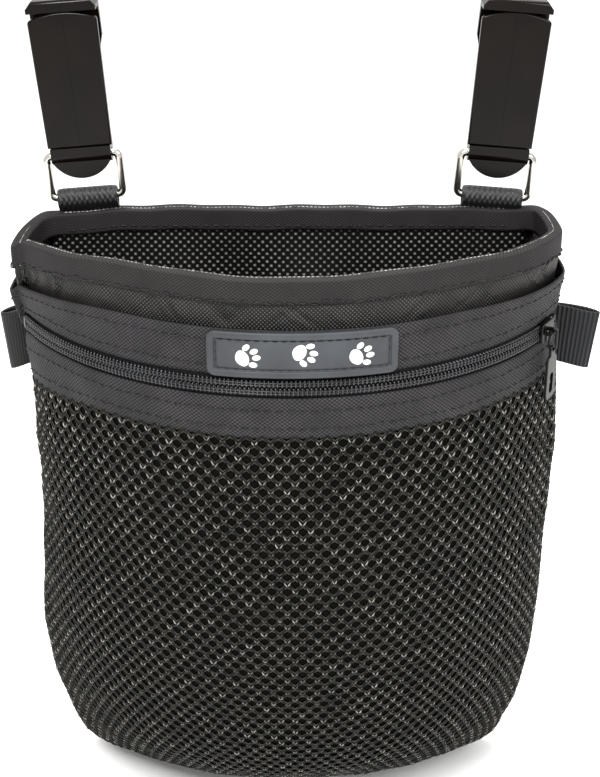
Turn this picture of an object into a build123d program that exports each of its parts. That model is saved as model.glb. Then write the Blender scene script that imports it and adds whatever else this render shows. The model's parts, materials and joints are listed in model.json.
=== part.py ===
from build123d import *
import math
import os

# Treat pouch worn on a belt. Millimetres, +Z up, the front faces -Y.
# The flat back, worn against the hip, lies on y = 0 and the origin is at its middle.

# Overall pouch
rim_height = 135.0  # mouth rim above the origin
pouch_height = 261.0
pouch_half_width = 106.5
pouch_depth = 88.0
corner_radius = 20.0  # plan radius where the front turns back to the side seam
corner_setback = 0.75  # corner centre behind the hip face, in corner radii

# Lower part, from the straight part to the bottom seam:
# share of the remaining height, of the half width, of the depth and of the corner radius
taper = [
    (0.0, 1.0, 1.0, 1.0),
    (0.10, 0.996, 1.0, 1.0),
    (0.26, 0.99, 1.0, 1.0),
    (0.47, 0.998, 0.99, 1.0),
    (0.67, 0.987, 0.91, 0.95),
    (0.80, 0.955, 0.81, 0.85),
    (0.90, 0.905, 0.65, 0.7),
    (0.96, 0.86, 0.49, 0.5),
    (1.0, 0.75, 0.28, 0.35),
]

# Fabric layers
cloth = 1.0
lining = 0.6
binding = 0.8
layer_gap = 0.2
stay_thickness = 1.0
stay_width = 6.0
binding_drop = 8.0
seam_tape = 1.2
seam_tape_width = 4.0

# Zip pocket on the front
pocket_gap = 2.2  # front shell to the zip tape and to the mesh
tape = 0.6
band = 0.8
mesh = 2.0
chain_drop = 40.0  # rim to the middle of the zip chain
coil_height = 1.5
coil_half_width = 3.0
chain_split = 0.5  # half the slit between the two tapes
tape_width = 13.5
band_edge = 4.45  # chain middle to each band's edge
upper_band_width = 18.25
lower_band_width = 16.55
upper_band_drop = chain_drop - band_edge - upper_band_width
lower_band_drop = chain_drop + band_edge + lower_band_width
straight_drop = lower_band_drop + 5.0  # the upper part of the pouch keeps one plan down to here
coil_setback = 5.2  # coil ends this far before the side corners, along the front
stop_width = 2.0

# Slider and pull
slider_setback = 11.8  # slider's middle before the side corner when the zip is closed
slider_length = 10.5
slider_half_width = 4.15
slider_plate = 1.2
slider_clearance = 0.4
slider_web = 0.5
bail_length = 6.6
bail_radius = 0.7
bail_post = 1.2
link_wire = 0.6
link_clearance = 0.15
link_drop = 6.0
tab_width = 8.5
tab_length = 23.5
tab_thickness = 1.2
tab_hole = 0.95
tab_lip = 1.0

# Label
label_width = 68.0
label_edge = 0.25  # label above the upper band's lower edge
label_bottom_drop = chain_drop - band_edge - label_edge
label_offset = 5.0  # the label sits a little off the middle
label_thickness = 1.6
label_border = 0.6
label_border_width = 2.4
label_corner = 3.0
motif_height = 0.4

# Side ribbon loops
ribbon_width = 25.0
ribbon = 1.2
ribbon_reach = 10.0
ribbon_bulge = 4.8
ribbon_drop = 58.0
ribbon_gap = 0.9  # loop to the side wall
ribbon_back = 5.0  # behind the hip face

# Webbing, rings and belt clips
webbing_width = 24.4
webbing = 1.8
webbing_tail = 30.0
foam_thickness = 2 * webbing + layer_gap  # the webbing tails fill it
ring_wire = 1.6
ring_side_gap = 0.9
ring_inner_width = webbing_width + 2 * ring_side_gap
ring_height = 20.7
ring_corner = 2.4
ring_inset = 24.0  # middle of each ring inside the side of the pouch
ring_spacing = 2 * (pouch_half_width - ring_inset)
ring_rise = 5.5  # lower bar above the rim
ring_splay = 4.5  # degrees, tops lean apart
bar_clearance = 0.4
sleeve_wall = 1.4
clip_sleeve = ring_wire + bar_clearance + sleeve_wall
clip_base = clip_sleeve + 0.2
clip_length = 62.0  # upper bar to the top of the head
clip_head = 4.5
clip_half_width = webbing_width / 2 + 0.8
clip_head_half_width = webbing_width / 2 + 1.4
clip_waist = webbing_width / 2 - 0.6
clip_arm = 2.4
slot_depth = 6.0
gate_gap = 0.25
tongue_drop = 9.0
tongue_thickness = 2.4
parting_width = 0.5
parting_height = 0.15


def height(drop):
    return rim_height - drop


def plan_values(half_width, depth, corner):
    """Corner centre, front radius, front centre and half angle of a D-shaped plan."""
    corner_x = half_width - corner
    corner_y = -corner_setback * corner
    reach = depth + corner_y
    front_radius = (corner_x**2 + reach**2 - corner**2) / (2 * (reach - corner))
    centre_y = front_radius - depth
    spread = math.atan2(corner_x, centre_y - corner_y)
    return corner_x, corner_y, front_radius, centre_y, spread


def front_spot(setback):
    """Angle from the front middle, x and y of a spot on the front face, setback before the corner."""
    radius, centre_y, spread = plan_values(pouch_half_width, pouch_depth, corner_radius)[2:5]
    angle = spread - setback / radius
    return angle, radius * math.sin(angle), centre_y - radius * math.cos(angle)


def plan_face(inset, level=(1.0, 1.0, 1.0), z=0.0):
    """The D-shaped plan, moved in by inset all round, at height z."""
    width_share, depth_share, corner_share = level
    corner = corner_radius * corner_share
    values = plan_values(pouch_half_width * width_share, pouch_depth * depth_share, corner)
    corner_x, corner_y, front_radius, centre_y, spread = values
    small = corner - inset
    side = math.sqrt(small**2 - (inset + corner_y) ** 2)
    back_angle = math.atan2(-inset - corner_y, side)
    joint_angle = spread - math.pi / 2
    middle = (back_angle + joint_angle) / 2
    back = (corner_x + side, -inset, z)
    bend = (corner_x + small * math.cos(middle), corner_y + small * math.sin(middle), z)
    joint = (corner_x + small * math.cos(joint_angle), corner_y + small * math.sin(joint_angle), z)
    front = (0, centre_y - front_radius + inset, z)

    def mirrored(point):
        return (-point[0], point[1], z)

    edges = [
        Edge.make_line(mirrored(back), back),
        Edge.make_three_point_arc(back, bend, joint),
        Edge.make_three_point_arc(joint, front, mirrored(joint)),
        Edge.make_three_point_arc(mirrored(joint), mirrored(bend), mirrored(back)),
    ]
    return Face(Wire(edges))


def block(x_low, x_high, y_low, y_high, z_low, z_high):
    size = (x_high - x_low, y_high - y_low, z_high - z_low)
    centre = ((x_low + x_high) / 2, (y_low + y_high) / 2, (z_low + z_high) / 2)
    return Pos(*centre) * Box(*size)


room = 2 * (pouch_half_width + pouch_depth + pouch_height)


def between(y_low, y_high, top_drop=-room, bottom_drop=room):
    """Everything between two depths and two drops."""
    return block(-room, room, y_low, y_high, height(bottom_drop), height(top_drop))


def pouch_form(inset):
    """The whole pouch as a full solid, moved in by inset."""
    straight = extrude(plan_face(inset, z=height(straight_drop)), straight_drop, dir=(0, 0, 1))
    sections = []
    for height_share, width_share, depth_share, corner_share in taper:
        drop = straight_drop + height_share * (pouch_height - straight_drop)
        lift = inset * (1 - depth_share)
        level = (width_share, depth_share, corner_share)
        sections.append(plan_face(inset, level, height(drop) + lift))
    return straight + loft(sections)


def front_strip(inner, outer, top_drop, bottom_drop, y_limit):
    """A band round the front between two offsets outside the shell, in front of y_limit."""
    ring = plan_face(-outer) - plan_face(-inner)
    body = extrude(ring, bottom_drop - top_drop, dir=(0, 0, 1))
    return Pos(0, 0, height(bottom_drop)) * body & between(-room, y_limit)


# Offsets inside the outer face, front and back
front_core = cloth + layer_gap
front_lining_face = front_core + stay_thickness + layer_gap
front_inside = front_lining_face + lining
back_lining_face = front_core + foam_thickness + layer_gap
back_inside = back_lining_face + lining
seam_y = -front_core

# Offsets outside the shell on the front
tape_outside = pocket_gap + tape
band_inside = tape_outside + layer_gap
band_outside = band_inside + band
coil_outside = band_inside + coil_height

outer_form = pouch_form(0)
core_form = pouch_form(front_core)


def back_shell():
    return outer_form & between(-cloth, 0, binding_drop + layer_gap)


def back_foam():
    foam = core_form & between(-front_core - foam_thickness, -front_core)
    for side in (-1, 1):
        foam -= webbing_place(side) * webbing_pocket()
    return foam


def back_lining():
    return core_form & between(-back_inside, -back_lining_face)


def front_shell():
    return (outer_form - pouch_form(cloth)) & between(-room, seam_y)


def front_lining():
    wall = pouch_form(front_lining_face) - pouch_form(front_inside)
    return wall & between(-room, -back_inside - layer_gap)


def rim_stay():
    stay = plan_face(front_core) - plan_face(front_core + stay_thickness)
    body = Pos(0, 0, height(1 + stay_width)) * extrude(stay, stay_width, dir=(0, 0, 1))
    return body & between(-room, -back_inside - layer_gap)


def mouth_binding():
    """Tape folded over the rim: a U section all round the mouth."""
    inner_face = front_inside + layer_gap
    back_inner_face = back_inside + layer_gap
    outer = plan_face(-layer_gap - binding)
    inner = plan_face(inner_face + binding)
    void_outer = plan_face(-layer_gap)
    void_inner = plan_face(inner_face)
    tall = binding_drop + layer_gap + binding
    full = extrude(outer, tall, dir=(0, 0, 1)) & block(-room, room, -room, 0, -1, tall + 1)
    back_limit = -back_inner_face - binding
    mouth = extrude(inner, tall, dir=(0, 0, 1)) & block(-room, room, -room, back_limit, -1, tall + 1)
    wall_height = binding_drop + layer_gap
    wall = extrude(void_outer, wall_height, dir=(0, 0, 1))
    wall &= block(-room, room, -room, seam_y, -1, tall)
    wall -= extrude(void_inner, wall_height, dir=(0, 0, 1)) & block(
        -room, room, -room, -back_inner_face, -1, tall
    )
    tape_body = Pos(0, 0, height(binding_drop)) * (full - mouth - wall)
    for side in (-1, 1):
        tape_body -= webbing_place(side) * webbing_pocket()
    return tape_body


def seam_binding():
    """Tape over the raw seam edges inside the sides and the bottom."""
    start = front_inside + layer_gap
    strip = pouch_form(start) - pouch_form(start + seam_tape)
    back = -back_inside - 2 * layer_gap
    top = binding_drop + layer_gap
    return strip & between(back - seam_tape_width, back, top)


def upper_band():
    edge = chain_drop - band_edge
    tape_top = chain_drop - chain_split - tape_width
    strip = front_strip(band_inside, band_outside, upper_band_drop, edge, seam_y)
    root = front_strip(layer_gap, band_outside, upper_band_drop, tape_top - layer_gap, seam_y)
    return strip + root


def lower_band():
    edge = chain_drop + band_edge
    tape_bottom = chain_drop + chain_split + tape_width
    strip = front_strip(band_inside, band_outside, edge, lower_band_drop, seam_y)
    root = front_strip(pocket_gap, band_outside, tape_bottom + layer_gap, lower_band_drop, seam_y)
    return strip + root


def zip_tape(side):
    near = chain_drop - side * chain_split
    far = near - side * tape_width
    return front_strip(pocket_gap, tape_outside, min(near, far), max(near, far), seam_y)


def zip_coil(side):
    near = chain_drop - side * chain_split
    far = chain_drop - side * coil_half_width
    end_y = front_spot(coil_setback)[2]
    return front_strip(band_inside, coil_outside, min(near, far), max(near, far), end_y)


def zip_stop(side, top_drop, bottom_drop):
    """A clamped stop just past the end of the coil, on the left (-1) or the right (1)."""
    start = front_spot(coil_setback)[2] + layer_gap
    ends = front_strip(band_inside, coil_outside, top_drop, bottom_drop, start + stop_width)
    ends &= between(start, 0)
    half = block(0, room, -room, room, -room, room)
    if side < 0:
        half = block(-room, 0, -room, room, -room, room)
    return ends & half


def zip_top_stops():
    upper = zip_stop(1, chain_drop - coil_half_width, chain_drop - chain_split)
    lower = zip_stop(1, chain_drop + chain_split, chain_drop + coil_half_width)
    return Compound([upper.solid(), lower.solid()])


def mesh_panel():
    panel = pouch_form(-pocket_gap - mesh) - pouch_form(-pocket_gap)
    return panel & between(-room, seam_y, lower_band_drop + layer_gap)


def slider_place():
    """Frame of the slider: x along the zip, y inwards, z up, y = 0 on the shell's face."""
    angle, x, y = front_spot(slider_setback)
    return Location((x, y, height(chain_drop)), (0, 0, math.degrees(angle)))


def slider_faces():
    """Outward offsets of the slider: inner plate, tape slot, outer plate and bail bar."""
    inner_top = pocket_gap - 0.3
    outer_low = coil_outside + slider_clearance
    outer_top = outer_low + slider_plate
    bail = outer_top + 0.25 + bail_radius + link_clearance + 2 * link_wire
    return inner_top - slider_plate, inner_top, outer_low, outer_top, bail


def zip_slider():
    inner_low, inner_top, outer_low, outer_top, bail = slider_faces()
    half = slider_length / 2
    edge = slider_half_width
    inner_plate = block(-half, half, -inner_top, -inner_low, -edge, edge)
    outer_plate = block(-half, half, -outer_top, -outer_low, -edge, edge)
    outer_plate = fillet(outer_plate.edges().filter_by(Axis.Y), 1.6)
    inner_plate = fillet(inner_plate.edges().filter_by(Axis.Y), 1.6)
    outer_plate = fillet(outer_plate.faces().sort_by(Axis.Y)[0].edges(), 0.4)
    web = block(-half + 1, -half + 4, -outer_low - 0.1, -inner_top + 0.1, -slider_web / 2, slider_web / 2)
    slider = outer_plate + inner_plate + web
    flange_inside = coil_half_width + 0.3
    for side in (-1, 1):
        low, high = sorted((side * flange_inside, side * edge))
        slider += block(-half + 1.6, half - 1.6, -outer_low - 0.1, -tape_outside - 0.35, low, high)
    bar = Rot(0, 90, 0) * Cylinder(bail_radius, bail_length)
    slider += Pos(0, -bail, 0) * bar
    for side in (-1, 1):
        x = side * (bail_length - bail_post) / 2
        low = x - bail_post / 2
        slider += block(low, low + bail_post, -bail, -outer_top + 0.1, -bail_radius, bail_radius)
    return slider_place() * slider


def link_bend():
    return bail_radius + link_clearance + link_wire


def zip_pull_link():
    """Wire link round the bail bar, with half-round ends."""
    bail = slider_faces()[4]
    bend = link_bend()
    outline = SlotCenterToCenter(link_drop, 2 * bend, rotation=90)
    centre = Plane((0, -bail, -link_drop / 2), x_dir=(0, 1, 0), z_dir=(-1, 0, 0))
    path = (centre * outline).face().outer_wire()
    section = Plane(path @ 0, z_dir=path % 0) * Circle(link_wire)
    return slider_place() * sweep(section, path=path)


def zip_pull_tab():
    bail = slider_faces()[4]
    hole_z = -link_drop - link_bend()
    top = hole_z + tab_hole + tab_lip
    centre = Plane((0, -bail, 0), x_dir=(1, 0, 0), z_dir=(0, -1, 0))
    neck = 2 * (tab_hole + tab_lip)
    plate = Pos(0, top - tab_length / 2 - 2) * RectangleRounded(tab_width, tab_length - 4, 3)
    plate += Pos(0, top - 3) * RectangleRounded(neck, 6, neck / 2 - 0.05)
    plate = plate - Pos(0, hole_z) * Circle(tab_hole)
    window = Pos(0, top - tab_length + 7) * SlotOverall(9, 3.2, rotation=90)
    plate = plate - window
    tab = extrude(centre * plate, tab_thickness / 2, both=True)
    flat_faces = tab.faces().filter_by(Axis.Y)
    rim = [edge for face in flat_faces for edge in face.outer_wire().edges()]
    return slider_place() * chamfer(rim, 0.25)


def label_prism(margin):
    """Rounded oblong of the label seen from the front, smaller by margin all round."""
    label_height = label_bottom_drop - upper_band_drop - layer_gap
    middle = height(label_bottom_drop - label_height / 2)
    outline = RectangleRounded(
        label_width - 2 * margin, label_height - 2 * margin, max(label_corner - margin, 0.8)
    )
    spot = Plane((label_offset, 0, middle), x_dir=(1, 0, 0), z_dir=(0, -1, 0))
    return extrude(spot * outline, room)


def label_ring(inner, outer):
    return front_strip(inner, outer, upper_band_drop, label_bottom_drop, seam_y)


def label_plate():
    back = band_outside + layer_gap
    floor = back + label_thickness
    plate = label_ring(back, floor + label_border) & label_prism(0)
    return plate - (label_ring(floor, floor + label_border + 1) & label_prism(label_border_width))


def paw(x, z, scale, turn):
    """Outline of a paw print: one pad and four toes."""
    pad = Ellipse(3.0 * scale, 2.3 * scale)
    shapes = [Pos(0, -1.4 * scale) * pad]
    toes = [(-3.5, 1.4, 25), (-1.3, 3.4, 8), (1.3, 3.4, -8), (3.5, 1.4, -25)]
    for toe_x, toe_z, tilt in toes:
        toe = Rot(0, 0, tilt) * Ellipse(0.95 * scale, 1.4 * scale)
        shapes.append(Pos(toe_x * scale, toe_z * scale) * toe)
    return [Pos(x, z) * Rot(0, 0, turn) * shape for shape in shapes]


def label_motif():
    """Three paw prints that walk across the label, seated in its recess."""
    floor = band_outside + layer_gap + label_thickness + 0.05
    ring = label_ring(floor, floor + motif_height)
    middle = height((upper_band_drop + label_bottom_drop + layer_gap) / 2)
    spot = Plane((label_offset, 0, middle), x_dir=(1, 0, 0), z_dir=(0, -1, 0))
    solids = []
    for place in ((-20, -1.2, 1.0, -70), (0, 1.2, 1.0, -110), (20, -1.2, 1.0, -70)):
        for shape in paw(*place):
            solids += (ring & extrude(spot * shape, room)).solids()
    return Compound(solids)


def side_loop(side):
    """Ribbon folded into a flat loop that stands out from the side seam."""
    small = corner_radius
    corner_x, corner_y = plan_values(pouch_half_width, pouch_depth, small)[:2]
    outside = small + max(band_outside, pocket_gap + mesh)
    start = corner_x + math.sqrt(outside**2 - (-ribbon_back - corner_y) ** 2) + ribbon_gap

    def drop_shape(bulge, nose, tail):
        return make_hull(
            (Pos(start + ribbon_reach, 0) * Circle(bulge)).edges()
            + (Pos(start + nose, 0) * Circle(tail)).edges()
        )

    nose = ribbon + 0.3
    outline = drop_shape(ribbon_bulge, nose, nose)
    outline -= drop_shape(ribbon_bulge - ribbon, nose + 2.5, 0.6)
    body = extrude(outline, ribbon_width, dir=(0, 0, 1))
    body = Pos(0, -ribbon_back, height(ribbon_drop) - ribbon_width / 2) * body
    if side < 0:
        return mirror(body, about=Plane.YZ)
    return body


def webbing_place(side):
    """Frame of a ring set: origin on the ring's lower bar, x along the bar."""
    tail_middle = -front_core - foam_thickness / 2
    spot = (side * ring_spacing / 2, tail_middle, rim_height + ring_rise)
    return Location(spot, (0, side * ring_splay, 0))


def eye_radius():
    return ring_wire + bar_clearance


def webbing_pocket():
    half = webbing_width / 2 + layer_gap
    deep = webbing + layer_gap / 2
    return block(-half, half, -deep, deep, -webbing_tail - layer_gap, 0)


def webbing_loop(side):
    """Webbing folded round the ring's lower bar, its two layers sewn into the back panel."""
    half = webbing_width / 2
    loop = Rot(0, 90, 0) * Cylinder(eye_radius() + webbing, webbing_width)
    loop += block(-half, half, -webbing, webbing, -webbing_tail, 0)
    loop -= Rot(0, 90, 0) * Cylinder(eye_radius(), webbing_width + 1)
    return webbing_place(side) * loop


def bar_spacing():
    return ring_height - 2 * ring_wire


def ring(side):
    """Rounded oblong of round wire."""
    wide = ring_inner_width + 2 * ring_wire
    outline = RectangleRounded(wide, bar_spacing(), ring_corner)
    spot = Plane((0, 0, bar_spacing() / 2), x_dir=(1, 0, 0), z_dir=(0, -1, 0))
    path = (spot * outline).face().outer_wire()
    section = Plane(path @ 0, z_dir=path % 0) * Circle(ring_wire)
    return webbing_place(side) * sweep(section, path=path)


def clip_place(side):
    return webbing_place(side) * Pos(0, 0, bar_spacing())


def clip_side():
    """Plane of the clip's side view: x runs backwards, y runs up."""
    return Plane((0, 0, 0), x_dir=(0, 1, 0), z_dir=(1, 0, 0))


def clip_front():
    """Plane of the clip's front view."""
    return Plane((0, 0, 0), x_dir=(1, 0, 0), z_dir=(0, -1, 0))


def gate_back():
    return clip_arm - clip_sleeve


def parting_ridge(low, high, front):
    half = parting_width / 2
    return block(-half, half, front - parting_height, front + 0.2, low, high)


def clip_frame(side):
    """Sleeve, tongue, back arm and hooked head of the belt clip."""
    front = -clip_sleeve
    arm_front = gate_back() + slot_depth
    arm_back = arm_front + clip_arm
    head_low = clip_length - clip_head
    outline = Polygon(
        (front, 0.0),
        (front, clip_base),
        (1.0, clip_base),
        (arm_front, clip_base + 5.0),
        (arm_front, head_low),
        (front, head_low),
        (front, clip_length),
        (arm_back, clip_length),
        (arm_back, clip_base + 3.0),
        (2.6, -2.2),
        align=None,
    )
    inner = [v for v in outline.vertices() if abs(v.X - arm_front) < 0.01]
    outline = fillet(inner, 1.6)
    outer = [v for v in outline.vertices() if abs(v.X - arm_back) < 0.01]
    outline = fillet(outer, 3.0)
    front_top = [v for v in outline.vertices() if abs(v.X - front) < 0.01 and v.Y > clip_length - 1]
    outline = fillet(front_top, 1.5)
    body = extrude(clip_side() * outline, clip_head_half_width + 1, both=True)
    body += Rot(0, 90, 0) * Cylinder(clip_sleeve, webbing_width)
    head_chamfer = 2.8
    view = Polygon(
        (-webbing_width / 2, -clip_sleeve - 1),
        (webbing_width / 2, -clip_sleeve - 1),
        (webbing_width / 2, clip_sleeve - 0.6),
        (clip_waist, clip_base + 5.0),
        (clip_waist, clip_length * 0.62),
        (clip_head_half_width, clip_length * 0.74),
        (clip_head_half_width, clip_length - head_chamfer),
        (clip_head_half_width - head_chamfer, clip_length + 0.5),
        (-clip_head_half_width + head_chamfer, clip_length + 0.5),
        (-clip_head_half_width, clip_length - head_chamfer),
        (-clip_head_half_width, clip_length * 0.74),
        (-clip_waist, clip_length * 0.62),
        (-clip_waist, clip_base + 5.0),
        (-webbing_width / 2, clip_sleeve - 0.6),
        align=None,
    )
    body &= extrude(clip_front() * view, 20, both=True)
    body += clip_tongue()
    body -= Rot(0, 90, 0) * Cylinder(eye_radius(), 2 * webbing_width)
    body += parting_ridge(head_low + 0.5, clip_length - 1.6, front)
    return clip_place(side) * body


def clip_tongue():
    """Half-round tongue below the sleeve."""
    half = webbing_width / 2 - 0.4
    sagitta = tongue_drop - clip_sleeve + 1.4
    radius = (half**2 + sagitta**2) / (2 * sagitta)
    disc = Pos(0, radius - tongue_drop) * Circle(radius)
    disc &= Pos(0, -tongue_drop + sagitta / 2) * Rectangle(2 * half, sagitta)
    plate = extrude(clip_front() * disc, tongue_thickness / 2, both=True)
    return Pos(0, -clip_sleeve + tongue_thickness / 2, 0) * plate


def clip_gate(side):
    """Springy front strip with an arched free end just under the head."""
    low = clip_base + gate_gap
    high = clip_length - clip_head - gate_gap
    arch = 2.6
    half = clip_half_width
    top_half = clip_head_half_width
    strip = make_face(
        Curve()
        + [
            Line((-half, low), (half, low)),
            Line((half, low), (top_half, high - arch)),
            ThreePointArc((top_half, high - arch), (0, high), (-top_half, high - arch)),
            Line((-top_half, high - arch), (-half, low)),
        ]
    )
    strip = fillet(strip.vertices().sort_by(Axis.Y)[-2:], 1.6)
    body = extrude(clip_front() * strip, clip_arm / 2, both=True)
    body = Pos(0, -clip_sleeve + clip_arm / 2, 0) * body
    face = body.faces().sort_by(Axis.Y)[0]
    body = fillet(face.edges(), 0.8)
    body += parting_ridge(low + 1.0, high - 1.0, -clip_sleeve)
    return clip_place(side) * body


nodes = {
    "back_shell": back_shell,
    "back_foam": back_foam,
    "back_lining": back_lining,
    "front_shell": front_shell,
    "front_lining": front_lining,
    "rim_stay": rim_stay,
    "mouth_binding": mouth_binding,
    "seam_binding": seam_binding,
    "upper_band": upper_band,
    "lower_band": lower_band,
    "zip_tape_upper": lambda: zip_tape(1),
    "zip_tape_lower": lambda: zip_tape(-1),
    "zip_coil_upper": lambda: zip_coil(1),
    "zip_coil_lower": lambda: zip_coil(-1),
    "zip_bottom_stop": lambda: zip_stop(-1, chain_drop - coil_half_width, chain_drop + coil_half_width),
    "zip_top_stops": zip_top_stops,
    "zip_slider": zip_slider,
    "zip_pull_link": zip_pull_link,
    "zip_pull_tab": zip_pull_tab,
    "mesh_panel": mesh_panel,
    "label_plate": label_plate,
    "label_motif": label_motif,
}
for side_name, side_sign in (("left", -1), ("right", 1)):
    nodes[side_name + "_side_loop"] = lambda side=side_sign: side_loop(side)
    nodes[side_name + "_webbing_loop"] = lambda side=side_sign: webbing_loop(side)
    nodes[side_name + "_ring"] = lambda side=side_sign: ring(side)
    nodes[side_name + "_clip_frame"] = lambda side=side_sign: clip_frame(side)
    nodes[side_name + "_clip_gate"] = lambda side=side_sign: clip_gate(side)

os.makedirs("parts", exist_ok=True)
for node_name, make in nodes.items():
    export_step(make(), "parts/" + node_name + ".step")
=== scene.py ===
import json
import math

import bmesh
import bpy
import numpy as np
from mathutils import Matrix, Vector


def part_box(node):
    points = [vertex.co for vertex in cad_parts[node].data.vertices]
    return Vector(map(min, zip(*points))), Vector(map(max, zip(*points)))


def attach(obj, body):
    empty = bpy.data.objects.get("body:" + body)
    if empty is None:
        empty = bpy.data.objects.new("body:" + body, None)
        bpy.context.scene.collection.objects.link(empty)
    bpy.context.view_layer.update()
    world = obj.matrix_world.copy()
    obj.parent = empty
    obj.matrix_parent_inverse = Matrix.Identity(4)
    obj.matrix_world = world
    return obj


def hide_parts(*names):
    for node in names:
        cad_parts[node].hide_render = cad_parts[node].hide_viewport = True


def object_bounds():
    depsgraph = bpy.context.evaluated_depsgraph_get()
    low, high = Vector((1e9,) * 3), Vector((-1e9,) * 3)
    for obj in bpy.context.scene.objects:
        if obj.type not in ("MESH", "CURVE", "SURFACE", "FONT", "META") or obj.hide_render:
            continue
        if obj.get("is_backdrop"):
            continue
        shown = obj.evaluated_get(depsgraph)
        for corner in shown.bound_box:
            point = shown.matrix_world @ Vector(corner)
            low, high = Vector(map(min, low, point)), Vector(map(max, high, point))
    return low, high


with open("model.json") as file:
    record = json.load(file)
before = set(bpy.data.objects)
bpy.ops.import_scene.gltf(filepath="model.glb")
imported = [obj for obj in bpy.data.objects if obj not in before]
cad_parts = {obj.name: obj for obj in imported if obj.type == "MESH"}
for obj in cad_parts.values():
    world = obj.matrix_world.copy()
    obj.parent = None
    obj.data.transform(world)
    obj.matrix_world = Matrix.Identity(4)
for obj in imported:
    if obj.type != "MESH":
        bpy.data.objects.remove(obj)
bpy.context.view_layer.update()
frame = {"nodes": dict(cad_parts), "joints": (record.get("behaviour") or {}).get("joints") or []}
mm = 0.001  # pieces are worked out in millimetres and stored in metres

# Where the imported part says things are, in millimetres
rimLow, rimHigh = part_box("mouth_binding")
shellLow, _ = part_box("front_shell")
bandLow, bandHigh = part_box("upper_band")
lowerLow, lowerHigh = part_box("lower_band")
_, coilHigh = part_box("zip_coil_upper")
labelLow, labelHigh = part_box("label_plate")
jointAt = {j["name"]: j for j in frame["joints"]}

rimTape = 1.0  # the rim tape stands this far outside the cloth
pouch = {
    "halfWidth": rimHigh.x / mm - rimTape,
    "depth": -rimLow.y / mm - rimTape,
    "rim": rimHigh.z / mm - rimTape,
    "height": rimHigh.z / mm - rimTape - shellLow.z / mm,
    "corner": 20.0,  # plan radius where the front turns back to the side seam
    "setback": 0.75,  # corner centre behind the hip face, in corner radii
    "straight": 66.0,  # the upper part that keeps one plan
    "bottomFold": 24.0,  # cloth under the bottom, from the front round to the seam
    "bottomSag": 3.0,
    # share of the way down, of the width, of the depth and of the corner radius
    "taper": np.array([
        (0.0, 1.0, 1.0, 1.0), (0.10, 0.996, 1.0, 1.0), (0.26, 0.99, 1.0, 1.0), (0.47, 0.998, 0.99, 1.0),
        (0.67, 0.987, 0.91, 0.95), (0.80, 0.955, 0.81, 0.85), (0.90, 0.905, 0.65, 0.7),
        (0.96, 0.86, 0.49, 0.5), (1.0, 0.75, 0.28, 0.35),
    ]),
}
rim = pouch["rim"]
endAngle = math.pi / 2 + math.asin(pouch["setback"])  # where the corner arc meets the hip face
upperTop = rim - bandHigh.z / mm
upperEdge = rim - bandLow.z / mm
lowerEdge = rim - lowerHigh.z / mm
lowerBottom = rim - lowerLow.z / mm
chainDrop = (upperEdge + lowerEdge) / 2


def smoothCurve(x, xs, ys):
    # cubic through the points, each with the slope of its two neighbours
    slope = np.gradient(ys, xs)
    i = np.clip(np.searchsorted(xs, x, side="right") - 1, 0, len(xs) - 2)
    gap = xs[i + 1] - xs[i]
    t = (x - xs[i]) / gap
    start = (2 * t**3 - 3 * t**2 + 1) * ys[i] + (t**3 - 2 * t**2 + t) * gap * slope[i]
    return start + (3 * t**2 - 2 * t**3) * ys[i + 1] + (t**3 - t**2) * gap * slope[i + 1]


def smoothStep(x, low, high):
    # 0 below low, 1 above high, and an S between
    t = np.clip((x - low) / (high - low), 0, 1)
    return t * t * (3 - 2 * t)


def levelAt(drop):
    # half width, depth, corner radius and depth share of the plan at a drop below the rim
    share = np.clip((drop - pouch["straight"]) / (pouch["height"] - pouch["straight"]), 0, 1)
    at, wide, deep, turn = pouch["taper"].T
    depthShare = smoothCurve(share, at, deep)
    width = pouch["halfWidth"] * smoothCurve(share, at, wide)
    return width, pouch["depth"] * depthShare, pouch["corner"] * smoothCurve(share, at, turn), depthShare


def planArcs(drop):
    # corner centre, front radius and centre, half spread and length of half the front at a drop
    width, depth, corner, depthShare = levelAt(drop)
    cornerX = width - corner
    reach = depth - pouch["setback"] * corner
    radius = (cornerX**2 + reach**2 - corner**2) / (2 * (reach - corner))
    centreY = radius - depth
    spread = np.arctan2(cornerX, centreY + pouch["setback"] * corner)
    half = radius * spread + corner * (endAngle - spread)
    return cornerX, corner, radius, centreY, spread, half, depthShare


frontArcs = planArcs(np.array(0.0))
frontRadius = float(frontArcs[2])
halfFront = float(frontArcs[5])  # seam to the front middle, along the rim


# Soft cloth never hangs even. The sway says how far the sides stand outwards, forwards and down of the plan
sway = {
    "span": (50, 95),  # degrees round the side where it grows
    "fade": (105, 138),  # degrees where it fades again, to a share at the seam
    "leftOver": 0.15,
    "chain": 40,  # beside the zip chain it grows some degrees later, so the slider runs on a true arc
    "chainTall": 16,
    "chainLate": 12,
    "mouthOut": 2.5,  # the left side: out at the mouth, in at the waist, out at the hip
    "waistIn": 6.5,
    "hipOut": 2.0,
    "rightOut": 3.6,  # the right side, out below the bands
    "mouthForward": (2, 12),  # right and left
    "corner": (13, 9),  # the mouth's front corners, pushed forward, right and left
    "cornerSpan": (28, 62, 80, 115),
    "sag": (6.0, 2.5, 8.5),  # at the rim, more below it, less again further down
    "sagEarly": 22,
    "sagSpan": (88, 138),
    "sagLost": 0.6,
}


def hill(x, at, width):
    # a smooth hill of height 1
    return np.exp(-((x - at) / width) ** 2)


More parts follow.
